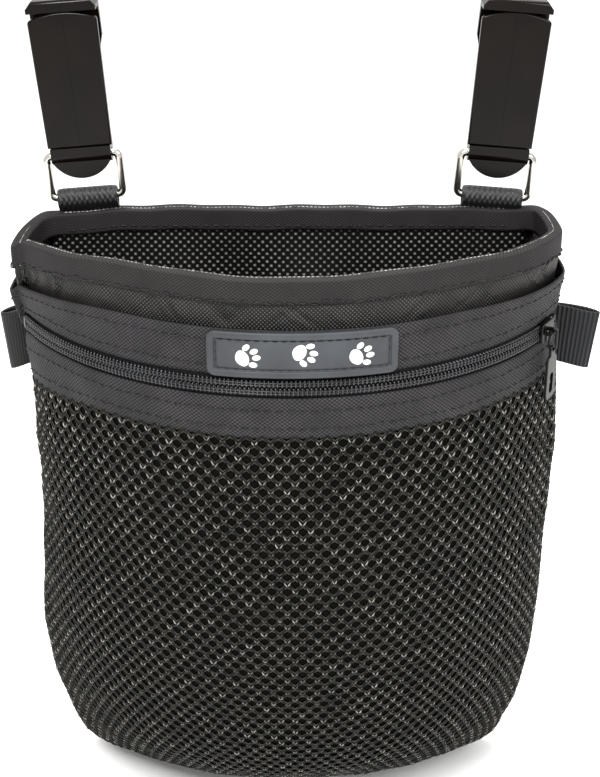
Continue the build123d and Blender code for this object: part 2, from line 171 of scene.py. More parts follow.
def sideSway(angle, drop, left):
    # each sway is a size in mm, times steps down the drop, times its weight round the side by the angle
    degrees = np.degrees(angle)
    begin = sway["span"][0] + sway["chainLate"] * hill(drop, sway["chain"], sway["chainTall"])
    weight = smoothStep(degrees, begin, sway["span"][1])
    weight = weight * (1 - (1 - sway["leftOver"]) * smoothStep(degrees, *sway["fade"]))
    leftOut = sway["mouthOut"] * (1 - smoothStep(drop, 8, 40)) + sway["hipOut"] * hill(drop, 200, 30)
    leftOut = leftOut - sway["waistIn"] * smoothStep(drop, 40, 62) * (1 - smoothStep(drop, 100, 190))
    outwards = np.where(left, leftOut, sway["rightOut"] * hill(drop, 105, 38))
    forwards = np.where(left, sway["mouthForward"][1] * (1 - smoothStep(drop, 8, 58)),
                        sway["mouthForward"][0] * (1 - smoothStep(drop, 8, 38)))
    # the mouth is squarer than the pocket below it
    grow, whole, shrink, gone = sway["cornerSpan"]
    corner = smoothStep(degrees, grow, whole) * (1 - smoothStep(degrees, shrink, gone))
    corner = corner * (1 - smoothStep(drop, 8, 36)) * np.where(left, sway["corner"][1], sway["corner"][0])
    # the left side sags in a long shallow dip, from the front arc round to the hip panel
    first, more, less = sway["sag"]
    sag = np.where(left, first + more * smoothStep(drop, 8, 30) - less * smoothStep(drop, 66, 190), 0.0)
    early = sway["sagEarly"] * (1 - hill(drop, sway["chain"], 12))
    dip = smoothStep(degrees, begin - early, sway["sagSpan"][0])
    dip = dip * (1 - sway["sagLost"] * smoothStep(degrees, *sway["sagSpan"]))
    return weight * outwards, weight * forwards + corner, dip * sag


def frontPoint(across, path, out):
    # across runs -1 to 1 by length from seam to seam, path is mm down the cloth from the rim and then
    # under the bottom, out is mm outwards. Two arcs make the plan: one front arc and one at each corner
    across, path, out = np.broadcast_arrays(across, path, out)
    drop = np.minimum(path, pouch["height"])
    fold = np.clip((path - pouch["height"]) / pouch["bottomFold"], 0, 1)
    cornerX, corner, radius, centreY, spread, half, depthShare = planArcs(drop)
    length = np.abs(across) * half
    turned = length > radius * spread
    angle = np.where(turned, spread + (length - radius * spread) / corner, length / radius)
    x = np.where(turned, cornerX + corner * np.sin(angle), radius * np.sin(angle))
    y = np.where(turned, -pouch["setback"] * corner - corner * np.cos(angle),
                 centreY - radius * np.cos(angle))
    outwards, forwards, sag = sideSway(angle, drop, across < 0)
    x = (x + out * np.sin(angle) + outwards) * np.sign(across)
    y = (y - out * np.cos(angle) - forwards) * (1 - fold)
    under = pouch["bottomSag"] * np.sin(np.pi * fold**0.8)
    closing = 1 - 0.8 * fold**2  # the layers come together in the bottom seam
    z = rim - drop - out * (1 - depthShare * (1 - fold)) * closing - under - sag
    return np.stack([x, y, z], -1)


def frontOutward(across, path, out):
    # unit direction straight out of the front face
    step = frontPoint(across, path, out + 1.0) - frontPoint(across, path, out)
    return step / np.linalg.norm(step, axis=-1, keepdims=True)


def seamRamp(across, reach=9.0):
    # 1 over the front and 0 at the side seams, where every layer is drawn into the seam
    left = (1 - np.abs(across)) * halfFront
    return smoothStep(left, 0.0, reach)


def waves(across, path, seed, count, size):
    # soft bumps of cloth, from a few fixed sines
    rng = np.random.default_rng(seed)
    total = 0.0
    for _ in range(count):
        a, b = rng.uniform(9, 40), rng.uniform(-0.05, 0.05)
        total = total + rng.uniform(0.4, 1.0) * np.sin(a * across + b * path * 6 + rng.uniform(0, 6.3))
    return size * total / count


def gridFaces(rows, cols, wrapRows=False, wrapCols=False, first=0, flip=False):
    # quads between the neighbours of a rows by cols grid of vertices
    r = np.arange(rows if wrapRows else rows - 1)
    c = np.arange(cols if wrapCols else cols - 1)
    r, c = np.meshgrid(r, c, indexing="ij")
    down, side = (r + 1) % rows, (c + 1) % cols
    quads = np.stack([r * cols + c, down * cols + c, down * cols + side, r * cols + side], -1)
    quads = quads.reshape(-1, 4) + first
    return quads[:, ::-1] if flip else quads


def makePiece(name, points, faces, uv=None, smooth=True, fix=False):
    # a mesh object from points in mm, faces and one uv pair in mm for each point
    mesh = bpy.data.meshes.new(name)
    mesh.from_pydata((np.asarray(points, float).reshape(-1, 3) * mm).tolist(), [], faces)
    mesh.update()
    if uv is not None:
        corner = np.zeros(len(mesh.loops), np.int32)
        mesh.loops.foreach_get("vertex_index", corner)
        layer = mesh.uv_layers.new(name="UVMap")
        layer.data.foreach_set("uv", (np.asarray(uv, float).reshape(-1, 2)[corner] * 0.01).ravel())
    if fix:
        work = bmesh.new()
        work.from_mesh(mesh)
        bmesh.ops.recalc_face_normals(work, faces=work.faces)
        work.to_mesh(mesh)
        work.free()
    mesh.polygons.foreach_set("use_smooth", np.full(len(mesh.polygons), smooth))
    piece = bpy.data.objects.new(name, mesh)
    bpy.context.scene.collection.objects.link(piece)
    return piece


def makeShell(name, outer, inner, uv=None, wrapCols=False):
    # cloth with two faces, joined all round their rim
    rows, cols = outer.shape[:2]
    count = rows * cols
    faces = gridFaces(rows, cols, wrapCols=wrapCols).tolist()
    faces += gridFaces(rows, cols, wrapCols=wrapCols, first=count, flip=True).tolist()
    index = np.arange(count).reshape(rows, cols)
    edges = [(index[0], True), (index[-1], False)]
    if not wrapCols:
        edges += [(index[:, 0], False), (index[:, -1], True)]
    for line, flip in edges:
        line = np.append(line, line[0]) if wrapCols else line
        quads = np.stack([line[:-1], line[:-1] + count, line[1:] + count, line[1:]], -1)
        faces += (quads[:, ::-1] if flip else quads).tolist()
    both = np.concatenate([outer.reshape(-1, 3), inner.reshape(-1, 3)])
    pair = None if uv is None else np.concatenate([uv.reshape(-1, 2), uv.reshape(-1, 2)])
    return makePiece(name, both, faces, pair, fix=True)


def makeTubes(name, paths, outward, radius, sides=4, closed=False):
    # many tubes at once: paths is (tubes, points, 3), outward a direction beside each point
    count, length = paths.shape[:2]
    if closed:
        along = np.roll(paths, -1, 1) - np.roll(paths, 1, 1)
    else:
        along = np.gradient(paths, axis=1)
    along /= np.maximum(np.linalg.norm(along, axis=-1, keepdims=True), 1e-9)
    up = outward - (outward * along).sum(-1, keepdims=True) * along
    up /= np.maximum(np.linalg.norm(up, axis=-1, keepdims=True), 1e-9)
    beside = np.cross(along, up)
    turn = np.arange(sides) * 2 * np.pi / sides + np.pi / sides
    radius = np.broadcast_to(radius, (count, length))[..., None, None]
    ring = np.cos(turn)[:, None] * up[:, :, None] + np.sin(turn)[:, None] * beside[:, :, None]
    points = paths[:, :, None] + radius * ring
    block = length * sides
    faces = gridFaces(length, sides, wrapRows=closed, wrapCols=True)
    faces = (faces[None] + (np.arange(count) * block)[:, None, None]).reshape(-1, 4).tolist()
    if not closed:
        first = (np.arange(count) * block)[:, None] + np.arange(sides)
        faces += first.tolist() + (first[:, ::-1] + block - sides).tolist()
    return makePiece(name, points, faces)


def settle(piece, body, slot, *nodes):
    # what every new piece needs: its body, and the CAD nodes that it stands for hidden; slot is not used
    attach(piece, body)
    if nodes:
        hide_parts(*nodes)
    return piece


def clothPiece(name, outer, inner, uv, finish, slot, nodes, held, restsOn):
    # a cloth piece on the pouch, dressed in its finish, with the CAD nodes that it stands for hidden
    piece = settle(dress(makeShell(name, outer, inner, uv), finish), "pouch", slot, *nodes)
    return piece


def uvOf(u, v):
    # texture places in mm, one pair for each point of a grid
    return np.stack(np.broadcast_arrays(u, v), -1)


def arcLengths(points):
    # length along a line of points, from its first
    return np.concatenate([[0], np.cumsum(np.linalg.norm(np.diff(points, axis=0), axis=-1))])


# Materials


def linearColour(code):
    # sRGB hex to linear red, green, blue and full alpha
    parts = [int(code[i:i + 2], 16) / 255 for i in (1, 3, 5)]
    return [p / 12.92 if p <= 0.04045 else ((p + 0.055) / 1.055) ** 2.4 for p in parts] + [1.0]


def addNode(tree, kind, settings=None, **links):
    # one node: settings go to its own values or to inputs by name or number, links join outputs to inputs
    node = tree.nodes.new(kind)
    for key, value in (settings or {}).items():
        if isinstance(key, int) or key in node.inputs:
            node.inputs[key].default_value = value
        else:
            setattr(node, key, value)
    for key, source in links.items():
        socket = node.inputs[int(key[1:])] if key[1:].isdigit() else node.inputs[key.replace("_", " ")]
        tree.links.new(source, socket)
    return node


def newMaterial(name, **shader):
    material = bpy.data.materials.new(name)
    material.use_nodes = True
    tree = material.node_tree
    principled = tree.nodes["Principled BSDF"]
    for key, value in shader.items():
        principled.inputs[key.replace("_", " ")].default_value = value
    return material, tree, principled


def joinShader(tree, principled, ramp, rough, bump):
    # colour, roughness and relief into the shader
    for name, source in (("Base Color", ramp), ("Roughness", rough), ("Normal", bump)):
        tree.links.new(source.outputs[0], principled.inputs[name])


def sineOf(tree, value, pitch):
    # a sine along one coordinate, in mm: value is in units of 100 mm
    scale = {"operation": "MULTIPLY_ADD", 1: 200 * math.pi / pitch, 2: 0.0}
    scaled = addNode(tree, "ShaderNodeMath", scale, i0=value)
    return addNode(tree, "ShaderNodeMath", {"operation": "SINE"}, i0=scaled.outputs[0]).outputs[0]


def wovenCloth(name, look):
    # Woven cloth. Two crossing sines give the thread tops and a broad noise makes them uneven: tops are
    # shinier than the gaps, and their colour follows the relief, lighter on the tops as painted highlight and
    # darker in the gaps as painted shade. Dots are the product of the sines, ribs the first with a share of
    # the second
    material, tree, principled = newMaterial(
        name, Roughness=look["roughness"], Specular_IOR_Level=look["specular"])
    place = addNode(tree, "ShaderNodeUVMap", {"uv_map": "UVMap"})
    warp = addNode(tree, "ShaderNodeTexNoise", {"Scale": 14.0, "Detail": 3.0}, Vector=place.outputs[0])
    shift = addNode(tree, "ShaderNodeVectorMath", {"operation": "MULTIPLY_ADD", 1: (0.004,) * 3},
                    i0=warp.outputs["Color"], i2=place.outputs[0])
    parts = addNode(tree, "ShaderNodeSeparateXYZ", i0=shift.outputs[0])
    first, second = (sineOf(tree, parts.outputs[i], look["pitch"][i]) for i in (0, 1))
    if look["weave"] == "ribs":
        product = addNode(tree, "ShaderNodeMath", {"operation": "MULTIPLY_ADD", 1: look.get("cross", 0.25)},
                          i0=second, i2=first)
    else:
        product = addNode(tree, "ShaderNodeMath", {"operation": "MULTIPLY"}, i0=first, i1=second)
    top = addNode(tree, "ShaderNodeMapRange", {"From Min": look.get("low", -1.0), "From Max": 1.0,
                                               "interpolation_type": "SMOOTHSTEP"}, Value=product.outputs[0])
    patch = addNode(tree, "ShaderNodeTexNoise", {"Scale": 6.0, "Detail": 4.0, "Roughness": 0.6},
                    Vector=place.outputs[0])
    shade = addNode(tree, "ShaderNodeMath", {"operation": "MULTIPLY"}, i0=top.outputs[0],
                    i1=patch.outputs["Fac"])
    # the colour runs from the gap's painted shade to the thread top's painted highlight
    ramp = addNode(tree, "ShaderNodeValToRGB", i0=shade.outputs[0])
    ramp.color_ramp.elements[0].color = linearColour(look["gap"])
    ramp.color_ramp.elements[1].color = linearColour(look["thread"])
    ramp.color_ramp.elements[1].position = look.get("reach", 0.62)
    rough = addNode(tree, "ShaderNodeMapRange", {"To Min": min(look["roughness"] + 0.15, 1.0),
                                                 "To Max": look["roughness"]}, Value=top.outputs[0])
    bump = addNode(tree, "ShaderNodeBump", {"Strength": look.get("bump", 0.5),
                                            "Distance": look.get("deep", 0.3) * mm}, Height=top.outputs[0])
    joinShader(tree, principled, ramp, rough, bump)
    return material


def plainStuff(name, look):
    # Moulded, drawn or spun stuff: one colour with a fine grain that breaks up its shine
    material, tree, principled = newMaterial(
        name, Roughness=look["roughness"], Metallic=look.get("metallic", 0.0),
        Specular_IOR_Level=look.get("specular", 0.5))
    place = addNode(tree, "ShaderNodeTexCoord")
    grain = addNode(tree, "ShaderNodeTexNoise", {"Scale": 1 / (look["grain"] * mm), "Detail": 3.0},
                    Vector=place.outputs["Object"])
    broad = addNode(tree, "ShaderNodeTexNoise", {"Scale": look.get("patch", 60.0), "Detail": 2.0},
                    Vector=place.outputs["Object"])
    ramp = addNode(tree, "ShaderNodeValToRGB", i0=broad.outputs["Fac"])
    ramp.color_ramp.elements[0].position, ramp.color_ramp.elements[1].position = 0.35, 0.7
    ramp.color_ramp.elements[0].color = linearColour(look["dark"])
    ramp.color_ramp.elements[1].color = linearColour(look["light"])
    rough = addNode(tree, "ShaderNodeMapRange", {"To Min": look["roughness"] * 0.8,
                                                 "To Max": min(look["roughness"] * 1.25, 1.0)},
                    Value=grain.outputs["Fac"])
    bump = addNode(tree, "ShaderNodeBump", {"Strength": look.get("bump", 0.15), "Distance": 0.1 * mm},
                   Height=grain.outputs["Fac"])
    joinShader(tree, principled, ramp, rough, bump)
    return material


print("materials")
cloths = {
    # pack cloth: coated nylon, plain weave, small thread tops set on the diagonal, light with painted
    # highlight
    "packCloth": {"weave": "dots", "pitch": (1.6, 1.6), "gap": "#080808", "thread": "#514e4c",
                  "roughness": 0.42, "specular": 0.28, "bump": 0.8, "low": -0.2},
    # folded hem: nylon tape, flat and matt, its weave drawn coarser than real so that it shows
    "hemTape": {"weave": "dots", "pitch": (1.7, 1.3), "gap": "#151313", "thread": "#2f2c2c",
                "roughness": 0.6, "specular": 0.2, "bump": 0.25, "low": -0.8},
    # twill tape: matt, with small raised thread tops
    "bandTwill": {"weave": "dots", "pitch": (1.8, 1.5), "gap": "#0d0c0d", "thread": "#3c3a3c",
                  "roughness": 0.6, "specular": 0.2, "bump": 0.6, "low": -0.9},
    # lining: black coated nylon in coarse rows of shiny thread tops, whose light colour is a painted glint
    "coatedLiningGlints": {"weave": "dots", "pitch": (3.4, 3.4), "gap": "#020202", "thread": "#7f7c77",
                     "roughness": 0.26, "specular": 0.35, "bump": 1.0, "low": 0.1, "deep": 0.6, "reach": 0.7},
    # zip tape: dull knitted polyester
    "zipKnit": {"weave": "ribs", "pitch": (0.9, 1.4), "gap": "#0b0b0b", "thread": "#232122",
                "roughness": 0.75, "specular": 0.2, "bump": 0.3},
    # spacer fabric behind the net: black and fuzzy
    "spacerKnit": {"weave": "dots", "pitch": (1.1, 1.3), "gap": "#030302", "thread": "#11100d",
                   "roughness": 0.9, "specular": 0.08, "bump": 0.4},
    # grosgrain ribbon: strong ribs across its length
    "grosgrain": {"weave": "ribs", "pitch": (1.9, 0.9), "gap": "#0a0b0c", "thread": "#252629",
                  "roughness": 0.5, "specular": 0.25, "bump": 0.8, "cross": 0.15, "deep": 0.4},
    # smooth ribbon on the other side: finer ribs
    "smoothRibbon": {"weave": "ribs", "pitch": (1.2, 0.8), "gap": "#0c0b0b", "thread": "#1e1c1b",
                     "roughness": 0.4, "specular": 0.25, "bump": 0.25, "cross": 0.15},
    # nylon webbing: a fine sheen over the basket weave that the mesh itself gives
    "basketWebbing": {"weave": "dots", "pitch": (0.9, 0.9), "gap": "#050606", "thread": "#1d1e1f",
                    "roughness": 0.3, "specular": 0.5, "bump": 0.3, "low": -0.6},
}
stuffs = {
    # acetal clip: glossy brown-black moulding
    "mouldedAcetal": {"dark": "#080504", "light": "#0f0a07", "roughness": 0.17, "specular": 0.16,
                      "grain": 0.3, "bump": 0.03},
    # nickel-plated steel wire
    "nickelPlate": {"dark": "#b9b5ae", "light": "#dedad2", "roughness": 0.16, "metallic": 1.0, "grain": 0.4,
                    "bump": 0.03},
    # zinc zip hardware under black enamel
    "blackZinc": {"dark": "#0d0d0b", "light": "#1b1a18", "roughness": 0.3, "metallic": 0.6,
                  "grain": 0.3, "bump": 0.06},
    # nylon monofilament of the coils: grey glints on near black
    "nylonCoil": {"dark": "#0f0f11", "light": "#232427", "roughness": 0.25, "specular": 0.6, "grain": 0.5,
                  "bump": 0.05},
    # spun polyester sewing thread
    "sewingThread": {"dark": "#0c0b0b", "light": "#242322", "roughness": 0.5, "specular": 0.3, "grain": 0.25,
                     "bump": 0.4, "patch": 200.0},
    # overcast thread along the folded rim: shinier, and its light colour is a painted highlight on the fold
    "edgeThreadHighlight": {"dark": "#3a3937", "light": "#b0ada9", "roughness": 0.35, "specular": 0.5, "grain": 0.25,
                   "bump": 0.3, "patch": 300.0},
    # knitted polyester yarn of the net: olive grey, a little shiny
    "netYarn": {"dark": "#201f1b", "light": "#4c4a42", "roughness": 0.42, "specular": 0.35, "grain": 0.3,
                "bump": 0.3, "patch": 500.0},
    # dull inner yarns of the net
    "netCore": {"dark": "#0b0b09", "light": "#191814", "roughness": 0.7, "specular": 0.15, "grain": 0.3,
                "bump": 0.5},
    # the knot loops of the net, which stand up and shine: their light colour is a painted glint
    "netLoopGlint": {"dark": "#2b2a26", "light": "#a09e96", "roughness": 0.3, "specular": 0.5, "grain": 0.3,
                "bump": 0.2, "patch": 260.0},
    # soft moulded rubber of the label
    "labelRubber": {"dark": "#2e3033", "light": "#3a3d41", "roughness": 0.5, "specular": 0.4, "grain": 0.2,
                    "bump": 0.15},
    # pale rubber of the raised motif
    "paleRubber": {"dark": "#d9d9d7", "light": "#efefed", "roughness": 0.5, "grain": 0.2, "bump": 0.1},
    # closed-cell foam
    "foamSheet": {"dark": "#3a3a3a", "light": "#4a4a4a", "roughness": 0.9, "grain": 0.8, "bump": 0.5},
    # polypropylene stay
    "stayStrip": {"dark": "#c9c7c0", "light": "#dad8d2", "roughness": 0.45, "grain": 0.5, "bump": 0.05},
}
finishes = {name: wovenCloth(name, look) for name, look in cloths.items()}
finishes.update({name: plainStuff(name, look) for name, look in stuffs.items()})


def dress(piece, finish):
    piece.data.materials.clear()
    piece.data.materials.append(finishes[finish])
    return piece


def makeThread(name, paths, outward, radius=0.32, finish="sewingThread"):
    # stitches: short arched tubes, each end sunk in the cloth
    count, length = paths.shape[:2]
    t = np.linspace(-1, 1, length)
    lift = (1 - t**2) ** 0.5 * radius - 0.1
    thick = radius * (0.55 + 0.45 * (1 - t**4))
    return dress(makeTubes(name, paths + outward * lift[:, None], outward, thick, sides=5), finish)


def frontStitches(name, drop, out, pitch, dash, seed, wander):
    # one row of stitches round the front at a drop, each a little out of line
    reach = 0.97  # share of the way to the seams
    rng = np.random.default_rng(seed)
    places = np.arange(-reach * halfFront, reach * halfFront, pitch)
    along = places[:, None] + np.linspace(-dash / 2, dash / 2, 6)
    shape = (len(places), 1)
    uneven = rng.normal(0, wander, shape) + rng.normal(0, wander, shape) * np.linspace(-1, 1, 6)
    across = along / halfFront
    height = np.broadcast_to(drop, along.shape) + uneven
    lift = out(across, height)
    return makeThread(name, frontPoint(across, height, lift), frontOutward(across, height, lift))


# Front shell

print("shell")
shell = {
    "cloth": 1.0,
    "cols": 230,
    "creases": 64,  # gathers under the hem, with their height, widths and lean in mm for each mm down
    "crease": 0.95,
    "creaseWide": (0.9, 2.2),
    "creaseLean": 1.6,
    "creaseTop": 8.0,
    "creaseEnd": (14, 19),
    "pull": 0.35,  # how deep the hem's stitch row draws the cloth in, and where
    "pullAt": 7.6,
    "edgeIn": 0.7,  # how far the cloth rolls inwards over the last few mm before a side seam
}


def shellOut(across, path):
    # the cloth is gathered under the hem: slanting creases that fade into the band below
    rng = np.random.default_rng(11)
    total = np.zeros(np.broadcast(across, path).shape)
    for _ in range(shell["creases"]):
        at, slant = rng.uniform(-0.93, 0.93), rng.uniform(-shell["creaseLean"], shell["creaseLean"])
        width, size = rng.uniform(*shell["creaseWide"]), rng.uniform(-1.0, 1.0)
        offset = (across - at) * halfFront - slant * (path - 12)
        total += size * hill(offset, 0, width)
    strip = smoothStep(path, shell["creaseTop"] - 0.5, shell["creaseTop"] + 2.5)
    strip = strip * (1 - smoothStep(path, *shell["creaseEnd"]))
    pull = -shell["pull"] * hill(path, shell["pullAt"], 1.2)
    return (shell["crease"] * total * strip + pull) * seamRamp(across, 12)


def wholeFront(outOf, top, bottom, rows, cols, thickness, reach=1.0):
    # outer and inner grids and their uv for a layer round the front
    across = np.linspace(-reach, reach, cols)[None, :]
    path = np.linspace(top, bottom, rows)[:, None]
    out = outOf(across, path)
    outer = frontPoint(across, path, out)
    inner = frontPoint(across, path, out - thickness)
    return outer, inner, uvOf(across * halfFront, -path)


def edgeDip(across):
    # the last few mm before the side seam roll inwards
    return -shell["edgeIn"] * (1 - seamRamp(across, 5))


wholePath = pouch["height"] + pouch["bottomFold"]
# finer rows where the creases show
rowsAt = np.concatenate([np.linspace(0.6, 19, 34), np.linspace(21, wholePath, 76)])
acrossAt = np.linspace(-1, 1, shell["cols"])
outShell = shellOut(acrossAt[None], rowsAt[:, None]) + edgeDip(acrossAt)[None]
outer = frontPoint(acrossAt[None], rowsAt[:, None], outShell)
inner = frontPoint(acrossAt[None], rowsAt[:, None], outShell - shell["cloth"])
uv = uvOf(acrossAt[None] * halfFront, -rowsAt[:, None])
clothPiece("frontShell", outer, inner, uv, "packCloth", "shell_cloth", ["front_shell"], "stretched",
           ["rimStay"])

# Back shell: a flat panel, a little crowned by the foam, that dips at its seams
print("back")
back = {"cloth": 1.0, "crown": 0.9, "rows": 110, "cols": 90, "top": 7.6, "seamIn": 0.8, "pucker": 0.25,
        "soft": 0.3, "swayWide": 35}


def backHalf(drop):
    # half width of the hip face at a drop
    width, _, corner, _ = levelAt(drop)
    return width - corner + corner * math.sin(endAngle)


def backSway(x, drop):
    # the hip panel follows the sway of the sides near its seams
    near = 1 - smoothStep(backHalf(drop) - np.abs(x), 0, back["swayWide"])
    outwards, forwards, sag = sideSway(endAngle, drop, x < 0)
    return near * outwards, near * forwards, near * sag


def backGrid(top, rows, cols, inset, yOf):
    # the hip panel from a drop to the bottom seam
    drop = np.linspace(top, pouch["height"] - inset, rows)[:, None]
    side = np.linspace(1, -1, cols)[None, :]
    x = side * (backHalf(drop) - inset)
    y = yOf(x, drop, side)
    outwards, forwards, sag = backSway(x, drop)
    x, y = x + outwards * np.sign(side), y - forwards
    return np.stack(np.broadcast_arrays(x, y, rim - drop - sag), -1)


def backFace(x, drop, side):
    # full in the middle, drawn in at the seams, with faint puckers along the sides
    rise = (1 - side**8) * smoothStep(pouch["height"] - drop, 0, 14)
    pucker = np.sin(drop * 0.55 + 2 * np.sin(drop * 0.13)) * np.exp(-((1 - np.abs(side)) / 0.09))
    soft = back["soft"] * np.sin(x * 0.045 + 1) * np.sin(drop * 0.035)
    return back["crown"] * rise - back["seamIn"] * (1 - rise) + (back["pucker"] * pucker + soft) * rise


outer = backGrid(back["top"], back["rows"], back["cols"], 0.0, backFace)
inner = outer + np.array([0, -back["cloth"], 0])
clothPiece("backShell", outer, inner, outer[..., [0, 2]], "packCloth", "shell_cloth", ["back_shell"],
           "stretched", ["back_foam"])

# Foam pad inside the back
foamLow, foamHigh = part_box("back_foam")
pad = {"top": 1.4, "inset": 2.4, "round": 0.9}
outer, inner = (backGrid(pad["top"], 60, 50, pad["inset"], lambda x, d, s: face - turn * pad["round"] * s**10)
                for face, turn in ((foamHigh.y / mm, 1), (foamLow.y / mm, -1)))
backPad = settle(dress(makeShell("backPad", outer, inner), "foamSheet"), "pouch", "pad_foam", "back_foam")

# Linings
print("linings")
lining = {"cloth": 0.6, "loose": 2.8, "slack": 1.6, "hem": 8.5, "in": 2.4, "top": 1.2, "inset": 3.0,
          "reach": 0.962}  # loose is the back's slack, slack the front's, reach a share of the front
_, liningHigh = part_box("back_lining")


def liningFace(x, drop, side):
    # hangs a little loose of the pad, held at the hem and at the sides
    free = smoothStep(drop, lining["hem"], 40) * (1 - side**6)
    fold = np.sin(x * 0.085 + drop * 0.02) + 0.6 * np.sin(x * 0.14 - drop * 0.03 + 2)
    return liningHigh.y / mm - lining["loose"] * free * (0.6 + 0.4 * fold)


inner = backGrid(lining["top"], 90, 90, lining["inset"], liningFace)[:, ::-1]
outer = inner + np.array([0, -lining["cloth"], 0])
clothPiece("backLining", outer, inner, inner[..., [0, 2]], "coatedLiningGlints", "lining_cloth", ["back_lining"],
           "stretched", ["backPad"])

acrossAt = np.linspace(-lining["reach"], lining["reach"], 180)[None]
rowsAt = np.linspace(lining["top"], wholePath - lining["inset"], 90)[:, None]
slack = lining["slack"] * smoothStep(rowsAt, 9, 40) * (1 + waves(acrossAt, rowsAt, 5, 5, 1.0))
outer = frontPoint(acrossAt, rowsAt, -lining["in"])
inner = frontPoint(acrossAt, rowsAt, -lining["in"] - lining["cloth"] - slack)
clothPiece("frontLining", outer, inner, uvOf(acrossAt * halfFront, -rowsAt), "coatedLiningGlints", "lining_cloth",
           ["front_lining"], "stretched", ["rimStay"])

# The stay in the front hem
stay = {"in": 1.2, "thick": 1.0, "top": 1.0, "wide": 6.0, "reach": 0.93}
outer, inner, _ = wholeFront(lambda a, p: -stay["in"], stay["top"], stay["top"] + stay["wide"], 4, 160,
                             stay["thick"], stay["reach"])
settle(dress(makeShell("rimStay", outer, inner), "stayStrip"), "pouch", "stay_plastic", "rim_stay")

# Rim tape folded over the whole mouth
print("rim tape")
tape = {"thick": 0.8, "outDrop": 8.3, "inDrop": 8.0, "frontIn": 4.0, "backIn": 6.8, "round": 1.1,
        "frontCols": 420, "backCols": 260, "even": 3}


def rimLift(turn):
    # the rim is never quite level: two sines round the mouth
    return 0.25 * np.sin(turn * 23) + 0.2 * np.sin(turn * 51 + 1)


def ringPoint(turn, inset, z):
    # turn 0..1 round the front from left to right, 1..2 back along the hip face; inset mm inwards
    cornerX, corner, radius, centreY, spread, half, _ = frontArcs
    small = corner - inset
    end = np.pi - np.arccos(np.clip((pouch["setback"] * corner - inset) / small, -1, 1))
    frontLength = (radius - inset) * spread
    cornerLength = small * (end - spread)
    front = turn <= 1
    length = (2 * np.minimum(turn, 1) - 1) * (frontLength + cornerLength)
    far = np.abs(length)
    turned = far > frontLength
    angle = np.where(turned, spread + (far - frontLength) / small, far / (radius - inset))
    x = np.where(turned, cornerX + small * np.sin(angle), (radius - inset) * np.sin(angle)) * np.sign(length)
    y = np.where(turned, -pouch["setback"] * corner - small * np.cos(angle),
                 centreY - (radius - inset) * np.cos(angle))
    endX = cornerX + small * np.sin(end)
    drop = np.maximum(rim - z, 0)
    outwards, forwards, sag = sideSway(angle, drop, length < 0)
    x, y = x + outwards * np.sign(length), y - forwards
    backX = endX * (1 - 2 * (np.maximum(turn, 1) - 1))
    backOut, backForward, backSag = backSway(backX, drop)
    x = np.where(front, x, backX + backOut * np.sign(backX))
    y = np.where(front, y, -inset - backForward)
    z = z - np.where(front, sag, backSag)
    return np.stack(np.broadcast_arrays(x, y, z), -1)


def roundLine(points, reach):
    # evens out a closed line of points over a few neighbours
    total = sum(np.roll(points, k, axis=1) for k in range(-reach, reach + 1))
    return total / (2 * reach + 1)


def rimProfile():
    # share from the outer to the inner face, mm outside them, and height above the rim
    bend = np.linspace(0, math.pi, 17)
    share = np.concatenate([np.zeros(8), 0.5 - 0.5 * np.cos(bend), np.ones(8)])
    rise = np.concatenate([np.linspace(-tape["outDrop"], -1.0, 8), tape["round"] * np.sin(bend) ** 0.5,
                           np.linspace(-1.0, -tape["inDrop"], 8)])
    return share, rise


def rimGrid(shrink):
    # the folded tape as a grid: profile down the rows, once round the mouth along the columns
    share, rise = rimProfile()
    frontTurns = np.linspace(0, 1, tape["frontCols"], endpoint=False)
    backTurns = np.linspace(1, 2, tape["backCols"], endpoint=False)
    turn = np.concatenate([frontTurns, backTurns])[None, :]
    isBack = turn >= 1
    outFace = np.where(isBack, 0.0, -rimTape) + shrink
    inFace = np.where(isBack, tape["backIn"], tape["frontIn"] + tape["thick"]) - shrink
    inset = outFace + share[:, None] * (inFace - outFace)
    z = rim + rise[:, None] + rimLift(turn) - shrink * np.sin(np.pi * share[:, None])
    return roundLine(ringPoint(turn, inset, z), tape["even"])


outer, inner = rimGrid(0.0), rimGrid(tape["thick"])
around, drawn = arcLengths(outer[0]), arcLengths(outer[:, 0])
uv = uvOf(around[None, :], drawn[:, None])
rimBinding = settle(dress(makeShell("rimBinding", outer, inner, uv, wrapCols=True), "hemTape"), "pouch",
                    "binding_tape", "mouth_binding")

# Bound seam allowance inside the sides: a tape folded over the raw edges
seamTape = {"in": 3.3, "wide": 6.8, "thick": 0.5, "full": 1.9, "across": 0.955, "top": 8.5, "short": 6,
            "wave": 0.3}
rowsAt = np.linspace(seamTape["top"], wholePath - seamTape["short"], 90)[:, None]
for side, name in ((-1, "left"), (1, "right")):
    t = np.linspace(0, 1, 14)[None, :]
    wave = seamTape["wave"] * np.sin(rowsAt * 0.3)
    grids = []
    for shrink in (0.0, seamTape["thick"]):
        reach = (seamTape["wide"] - shrink) * np.sin(np.pi * t) ** 0.6 / halfFront
        depth = seamTape["in"] + shrink + (seamTape["full"] - 2 * shrink) * (0.5 - 0.5 * np.cos(np.pi * t))
        grids.append(frontPoint(side * (seamTape["across"] - reach), rowsAt, -depth - wave))
    lengths = np.linspace(0, 2 * seamTape["wide"] + seamTape["full"], 14)[None, :]
    clothPiece(name + "SeamTape", *grids, uvOf(-rowsAt, lengths), "hemTape", "binding_tape",
               ["seam_binding"] if side < 0 else [], "folded", ["frontLining"])

# Bands above and below the zip
print("bands")
tapeOut = 2.8  # outer face of the zip tape beyond the cloth
bandOut = 3.8  # outer face of the bands
bands = {"thick": 0.8, "ripple": 0.22, "rows": 14, "cols": 300, "edgeIn": 0.25}


